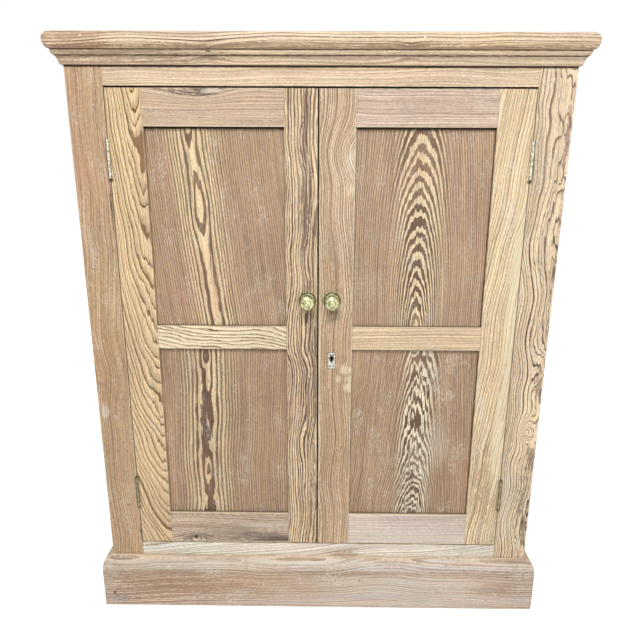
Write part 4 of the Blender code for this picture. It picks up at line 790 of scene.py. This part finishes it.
def meshed(name, bm):
    """The drawn shape as a mesh."""
    mesh = bpy.data.meshes.new(name)
    bm.to_mesh(mesh)
    bm.free()
    return mesh


def linked(name, data):
    """A new object of the scene."""
    made = bpy.data.objects.new(name, data)
    bpy.context.scene.collection.objects.link(made)
    return made


def worn_board(node, axes):
    """The board of a node with its sharp edges rounded and rubbed unevenly along their length."""
    across, along, through = ("xyz".index(axis) for axis in axes)
    bm = rounded(frame["nodes"][node].data)
    slice_up(bm, *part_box(node), along)
    rub_edges(bm, Vector((0.37, 0.71, 0.53)) * (zlib.crc32(node.encode()) % 97), across, through)
    mesh = meshed(node + "_board", bm)
    mesh.shade_smooth()
    board = linked(node + "_board", mesh)
    weighted = board.modifiers.new("even_normals", "WEIGHTED_NORMAL")
    weighted.keep_sharp = False
    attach(board, BODY_OF[node])
    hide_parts(node)
    return board


for node, (axes, grain) in GRAINS.items():
    board = worn_board(node, axes)
    board.data.materials.append(Pine(node + "_pine", *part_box(node), axes, grain).drawn())

# Metals, each with its bright and dull colour, its roughness and the size of its patches.
STEEL = metal("bright_steel", tone(82, 81, 78), tone(60, 58, 54), 0.25, 0.006)
IRON = metal("black_iron", tone(30, 28, 26), tone(12, 11, 10), 0.5, 0.008, metallic=0.6)
SCREW_STEEL = metal("screw_steel", tone(58, 55, 49), tone(30, 25, 20), 0.40, 0.004)
PIN_IRON = metal("pin_iron", tone(16, 14, 12), tone(8, 7, 6), 0.7, 0.003, metallic=0.0)

HINGE_AXIS_X = {"left": -0.426, "right": 0.426}
HINGE_MIDDLE_Z = {"lower": 0.304, "upper": 1.060}
# The painted highlight of a hinge lies a little nearer to the middle of the cupboard than its axis.
HIGHLIGHT_SHARE = 0.9965
KEYHOLE_X, KEYHOLE_Z = 0.0284, 0.638
FINISHES = {"bright_steel": STEEL, "black_iron": IRON}
for side, axis_x in HINGE_AXIS_X.items():
    for level, colours in HINGE_COLOURS.items():
        name = f"{side}_{level}_hinge_steel"
        FINISHES[name] = hinge_steel(name, axis_x * HIGHLIGHT_SHARE, *colours)
FINISHES["worn_nickel"] = key_plate("worn_nickel", "escutcheon", KEYHOLE_X, KEYHOLE_Z)
for node, slot in SLOT_OF.items():
    finish = "_".join(node.split("_")[:2]) + "_hinge_steel" if slot == "hinge_steel" else slot
    if finish in FINISHES:
        frame["nodes"][node].material_slots[0].material = FINISHES[finish]


def arc(centre, radii, start, end, count):
    """Points on an ellipse between two angles in degrees, as (radius, distance out)."""
    angles = [math.radians(start + (end - start) * number / count) for number in range(count + 1)]
    return [(centre[0] + radii[0] * math.cos(angle), centre[1] + radii[1] * math.sin(angle))
            for angle in angles]


def shell(bm, rings, closed=False):
    """Skin over rings of points that all have the same number of points, capped at both ends or closed."""
    rings = [[bm.verts.new(point) for point in ring] for ring in rings]
    pairs = list(zip(rings, rings[1:]))
    if closed:
        pairs.append((rings[-1], rings[0]))
    for first, second in pairs:
        for number in range(len(first)):
            after = (number + 1) % len(first)
            bm.faces.new((first[number], first[after], second[after], second[number]))
    if not closed:
        bm.faces.new(rings[0])
        bm.faces.new(rings[-1])


def finished(name, bm, material, body):
    """The drawn shape as a piece that goes with a body."""
    bmesh.ops.recalc_face_normals(bm, faces=bm.faces)
    mesh = meshed(name, bm)
    mesh.shade_smooth()
    mesh.set_sharp_from_angle(angle=ARRIS_ANGLE)
    mesh.materials.append(material)
    piece = linked(name, mesh)
    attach(piece, body)
    return piece


def turned(name, profile, centre_x, centre_z, material, body, sides=96, closed=False):
    """A turning round an axis that comes straight out of the doors' face."""
    angles = [2 * math.pi * number / sides for number in range(sides)]
    rings = [[(centre_x + radius * math.cos(angle), FRONT - out, centre_z + radius * math.sin(angle))
              for angle in angles] for radius, out in profile]
    bm = bmesh.new()
    shell(bm, rings, closed)
    return finished(name, bm, material, body)


def box_middle(node):
    """The middle of a node's box."""
    low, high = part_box(node)
    return (low + high) / 2


# Knobs and roses as (radius, distance out from the door's face). A knob is a shank, a ball, a groove and a
# boss.
SEAT = 0.0003
BALL_RADIUS = 0.0165
BALL_OUT = 0.0225
KNOB = [(0.0035, -0.012), (0.0035, SEAT), (0.0065, SEAT), (0.0062, 0.004), (0.0059, 0.010)]
KNOB += arc((0, BALL_OUT), (BALL_RADIUS, 0.0095), -65, 0, 14)
KNOB += arc((0, BALL_OUT), (BALL_RADIUS, 0.0105), 0, 56, 12)[1:]
KNOB += [(0.0087, 0.0313), (0.0082, 0.0315)]
KNOB += arc((0, 0.0316), (0.0079, 0.0044), 8, 84, 10)
KNOB.append((0.0004, 0.036))
ROSE_HOLE = 0.0068
ROSE_FACE = 0.0030
ROSE = [(ROSE_HOLE, SEAT), (0.0188, SEAT)]
ROSE += arc((0.0178, 0.0014), (0.0012, 0.0012), -70, 110, 9)
ROSE += [(0.0166, 0.0022), (0.0158, 0.0020), (0.0152, 0.0023), (0.0150, 0.0029)]
ROSE += [(0.0148, ROSE_FACE), (ROSE_HOLE, ROSE_FACE)]
# Dark rings on the brass as (radius, reach, share). On the knob: dirt round the foot of the boss, and painted
# shade at the rim of the ball. On the rose: dirt and painted shade on its outer ledge, and painted shade
# under the ball.
KNOB_DIRT_AND_SHADE = ((0.0084, 0.0007, 0.20), (0.0168, 0.0014, 0.6))
ROSE_DIRT_AND_SHADE = ((0.0174, 0.0024, 0.85), (0.0112, 0.0036, 0.8))
for side in ("left", "right"):
    centre = box_middle(f"{side}_knob_rose")
    for suffix, profile, dirt in (("knob", KNOB, KNOB_DIRT_AND_SHADE), ("knob_rose", ROSE, ROSE_DIRT_AND_SHADE)):
        name = f"{side}_{suffix}"
        brass = turned_brass(name + "_brass", centre.x, centre.z, dirt)
        piece = turned(name + "_turned", profile, centre.x, centre.z, brass, BODY_OF[name],
                       closed=suffix == "knob_rose")
        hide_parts(name)

# Pins of the key plate: their profile, and their places as (sideways, up) from its middle.
PIN = [(0.0010, 0.0006), (0.0016, 0.0014)] + arc((0, 0.0014), (0.0016, 0.0005), 0, 80, 5)[1:]
PIN_PLACES = ((-0.0033, 0.0135), (0.0033, 0.0135), (-0.0039, -0.0130), (0.0039, -0.0130))
plate = box_middle("escutcheon")
for number, (sideways, up) in enumerate(PIN_PLACES):
    turned(f"key_plate_pin_{number}", PIN, plate.x + sideways, plate.z + up, PIN_IRON, "right_door",
           sides=24)

# Slotted screws: radius of the head, width and depth of the slot, depth of the cone and radius of the neck.
HEAD_RADIUS = 0.0029
SLOT_WIDTH = 0.0008
SLOT_DEPTH = 0.0006
CONE_DEPTH = 0.0017
NECK_RADIUS = 0.0014


def slotted_screw(name, place, out, body, turn):
    """A countersunk screw. The slotted head faces along out, and turn is the angle of its slot in degrees."""
    bm = bmesh.new()
    first = math.degrees(math.asin(SLOT_WIDTH / 2 / HEAD_RADIUS))
    for start, end in ((first, 180 - first), (180 + first, 360 - first)):
        outline = arc((0, 0), (HEAD_RADIUS, HEAD_RADIUS), start, end, 12)
        shell(bm, [[(x, y, level) for x, y in outline] for level in (-SLOT_DEPTH, 0)])
    cone = ((HEAD_RADIUS, -SLOT_DEPTH), (NECK_RADIUS, -CONE_DEPTH), (NECK_RADIUS, -CONE_DEPTH * 2))
    shell(bm, [[(x, y, level) for x, y in arc((0, 0), (size, size), 0, 345, 23)] for size, level in cone])
    aim = Vector(out).to_track_quat("Z", "Y").to_matrix().to_4x4()
    bm.transform(Matrix.Translation(place) @ aim @ Matrix.Rotation(math.radians(turn), 4, "Z"))
    return finished(name, bm, SCREW_STEEL, body)


# Screws of the hinges: their place from front to back, their heights from the middle of the hinge, and the
# distance of a leaf's face from the axis.
HINGE_SCREW_Y = -0.2005
HINGE_SCREW_RISES = (-0.026, 0.0, 0.026)
LEAF_FACE = 0.00025
for side, axis_x in HINGE_AXIS_X.items():
    outwards = -1 if side == "left" else 1
    for level, middle in HINGE_MIDDLE_Z.items():
        for number, rise in enumerate(HINGE_SCREW_RISES):
            for leaf, way, body in (("door", outwards, side + "_door"), ("frame", -outwards, "carcass")):
                name = f"{side}_{level}_{leaf}_leaf_screw_{number}"
                place = (axis_x - way * LEAF_FACE, HINGE_SCREW_Y, middle + rise)
                slotted_screw(name, place, (way, 0, 0), body, zlib.crc32(name.encode()) % 180)

# Screws of the lock: their distance from the edges of its case, and how far they stand proud of it.
CASE_INSET = 0.006
PROUD = 0.0001
low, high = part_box("lock_case")
columns = (low.x + CASE_INSET, high.x - CASE_INSET)
rows = (low.z + CASE_INSET, high.z - CASE_INSET)
for number, (x, z) in enumerate([(x, z) for z in rows for x in columns]):
    place = (x, high.y + PROUD, z)
    slotted_screw(f"lock_case_screw_{number}", place, (0, 1, 0), "right_door", 40 + number * 55)

# The floor: half its width, its colour, its glow near the cupboard, and where that starts and ends to rise.
FLOOR_REACH = 40
FLOOR_COLOUR = (0.85, 0.85, 0.85, 1)
NEAR_GLOW = 0.5
FADE_START, FADE_END = 0.7, 1.6
WHITE = (1, 1, 1, 1)
# Even light from all round, and what a camera or reflection sees of it.
AMBIENT, SEEN_AMBIENT = 0.272, 1.0
# Lamps as (name, place, target, diameter, power).
LAMPS = (
    ("key", (-0.2, -2.2, 3.2), (0, 0, 0.62), 1.0, 69),
    ("fill", (1.6, -2.8, 1.0), (0, 0, 0.5), 2.0, 14.5),
    ("rear", (-0.6, 2.8, 2.2), (0, 0, 0.7), 2.0, 35))
# The camera, found from the uprights in the photograph: angles in degrees, focal length in picture widths.
CAMERA_PLACE = (0.0135, -1.4044, 1.0456)
YAW, PITCH, ROLL = -0.537, 14.995, 0.274
FOCAL = 570.15 / 640
SENSOR = 36


def white_stage(name):
    """A matt surface that the camera and reflections see brighter than it is lit, and white far away."""
    material = bpy.data.materials.new(name)
    material.use_nodes = True
    nodes = Nodes(material.node_tree)
    nodes.tree.nodes.clear()
    matt = nodes.node("ShaderNodeBsdfDiffuse")
    matt.inputs["Color"].default_value = FLOOR_COLOUR
    away = nodes.node("ShaderNodeVectorMath", operation="LENGTH")
    nodes.feed(away.inputs[0], nodes.object_place())
    distance = Wire(nodes, away.outputs["Value"])
    fade = nodes.through(nodes.node("ShaderNodeMapRange"), distance, FADE_START, FADE_END, NEAR_GLOW, 1.0)
    glow = nodes.node("ShaderNodeEmission")
    nodes.feed(glow.inputs["Strength"], nodes.seen() * fade)
    both = nodes.node("ShaderNodeAddShader")
    nodes.tree.links.new(matt.outputs[0], both.inputs[0])
    nodes.tree.links.new(glow.outputs[0], both.inputs[1])
    output = nodes.node("ShaderNodeOutputMaterial")
    nodes.tree.links.new(both.outputs[0], output.inputs[0])
    return material


def add_floor():
    """A wide pale floor under the cupboard."""
    bm = bmesh.new()
    corners = [(x * FLOOR_REACH, y * FLOOR_REACH, 0) for x, y in ((-1, -1), (1, -1), (1, 1), (-1, 1))]
    bm.faces.new([bm.verts.new(corner) for corner in corners])
    floor = linked("floor", meshed("floor", bm))
    floor.data.materials.append(white_stage("pale_floor"))


def add_world():
    """Even light from all round, seen as plain white."""
    world = bpy.data.worlds.new("studio")
    bpy.context.scene.world = world
    world.use_nodes = True
    nodes = Nodes(world.node_tree)
    background = nodes.tree.nodes["Background"]
    background.inputs["Color"].default_value = WHITE
    strength = nodes.through(nodes.node("ShaderNodeMapRange"), nodes.seen(), 0.0, 1.0, AMBIENT, SEEN_AMBIENT)
    nodes.feed(background.inputs["Strength"], strength)


def add_light(name, place, target, size, power):
    """A round lamp that points at its target."""
    data = bpy.data.lights.new(name, "AREA")
    data.shape = "DISK"
    data.size = size
    data.energy = power
    lamp = linked(name, data)
    lamp.location = place
    lamp.rotation_euler = (Vector(target) - Vector(place)).to_track_quat("-Z", "Y").to_euler()


def add_camera():
    """The camera of the photograph."""
    yaw, pitch, roll = (math.radians(angle) for angle in (YAW, PITCH, ROLL))
    ahead = Vector((math.sin(yaw) * math.cos(pitch), math.cos(yaw) * math.cos(pitch), -math.sin(pitch)))
    right = Vector((math.cos(yaw), -math.sin(yaw), 0))
    up = right.cross(ahead)
    right, up = (math.cos(roll) * right + math.sin(roll) * up, math.cos(roll) * up - math.sin(roll) * right)
    data = bpy.data.cameras.new("camera")
    data.sensor_fit = "HORIZONTAL"
    data.sensor_width = SENSOR
    data.lens = SENSOR * FOCAL
    camera = linked("camera", data)
    turn = Matrix((right, up, -ahead)).transposed().to_4x4()
    camera.matrix_world = Matrix.Translation(CAMERA_PLACE) @ turn
    bpy.context.scene.camera = camera


add_floor()
add_world()
for lamp in LAMPS:
    add_light(*lamp)
add_camera()
bpy.context.scene.view_settings.view_transform = "Standard"
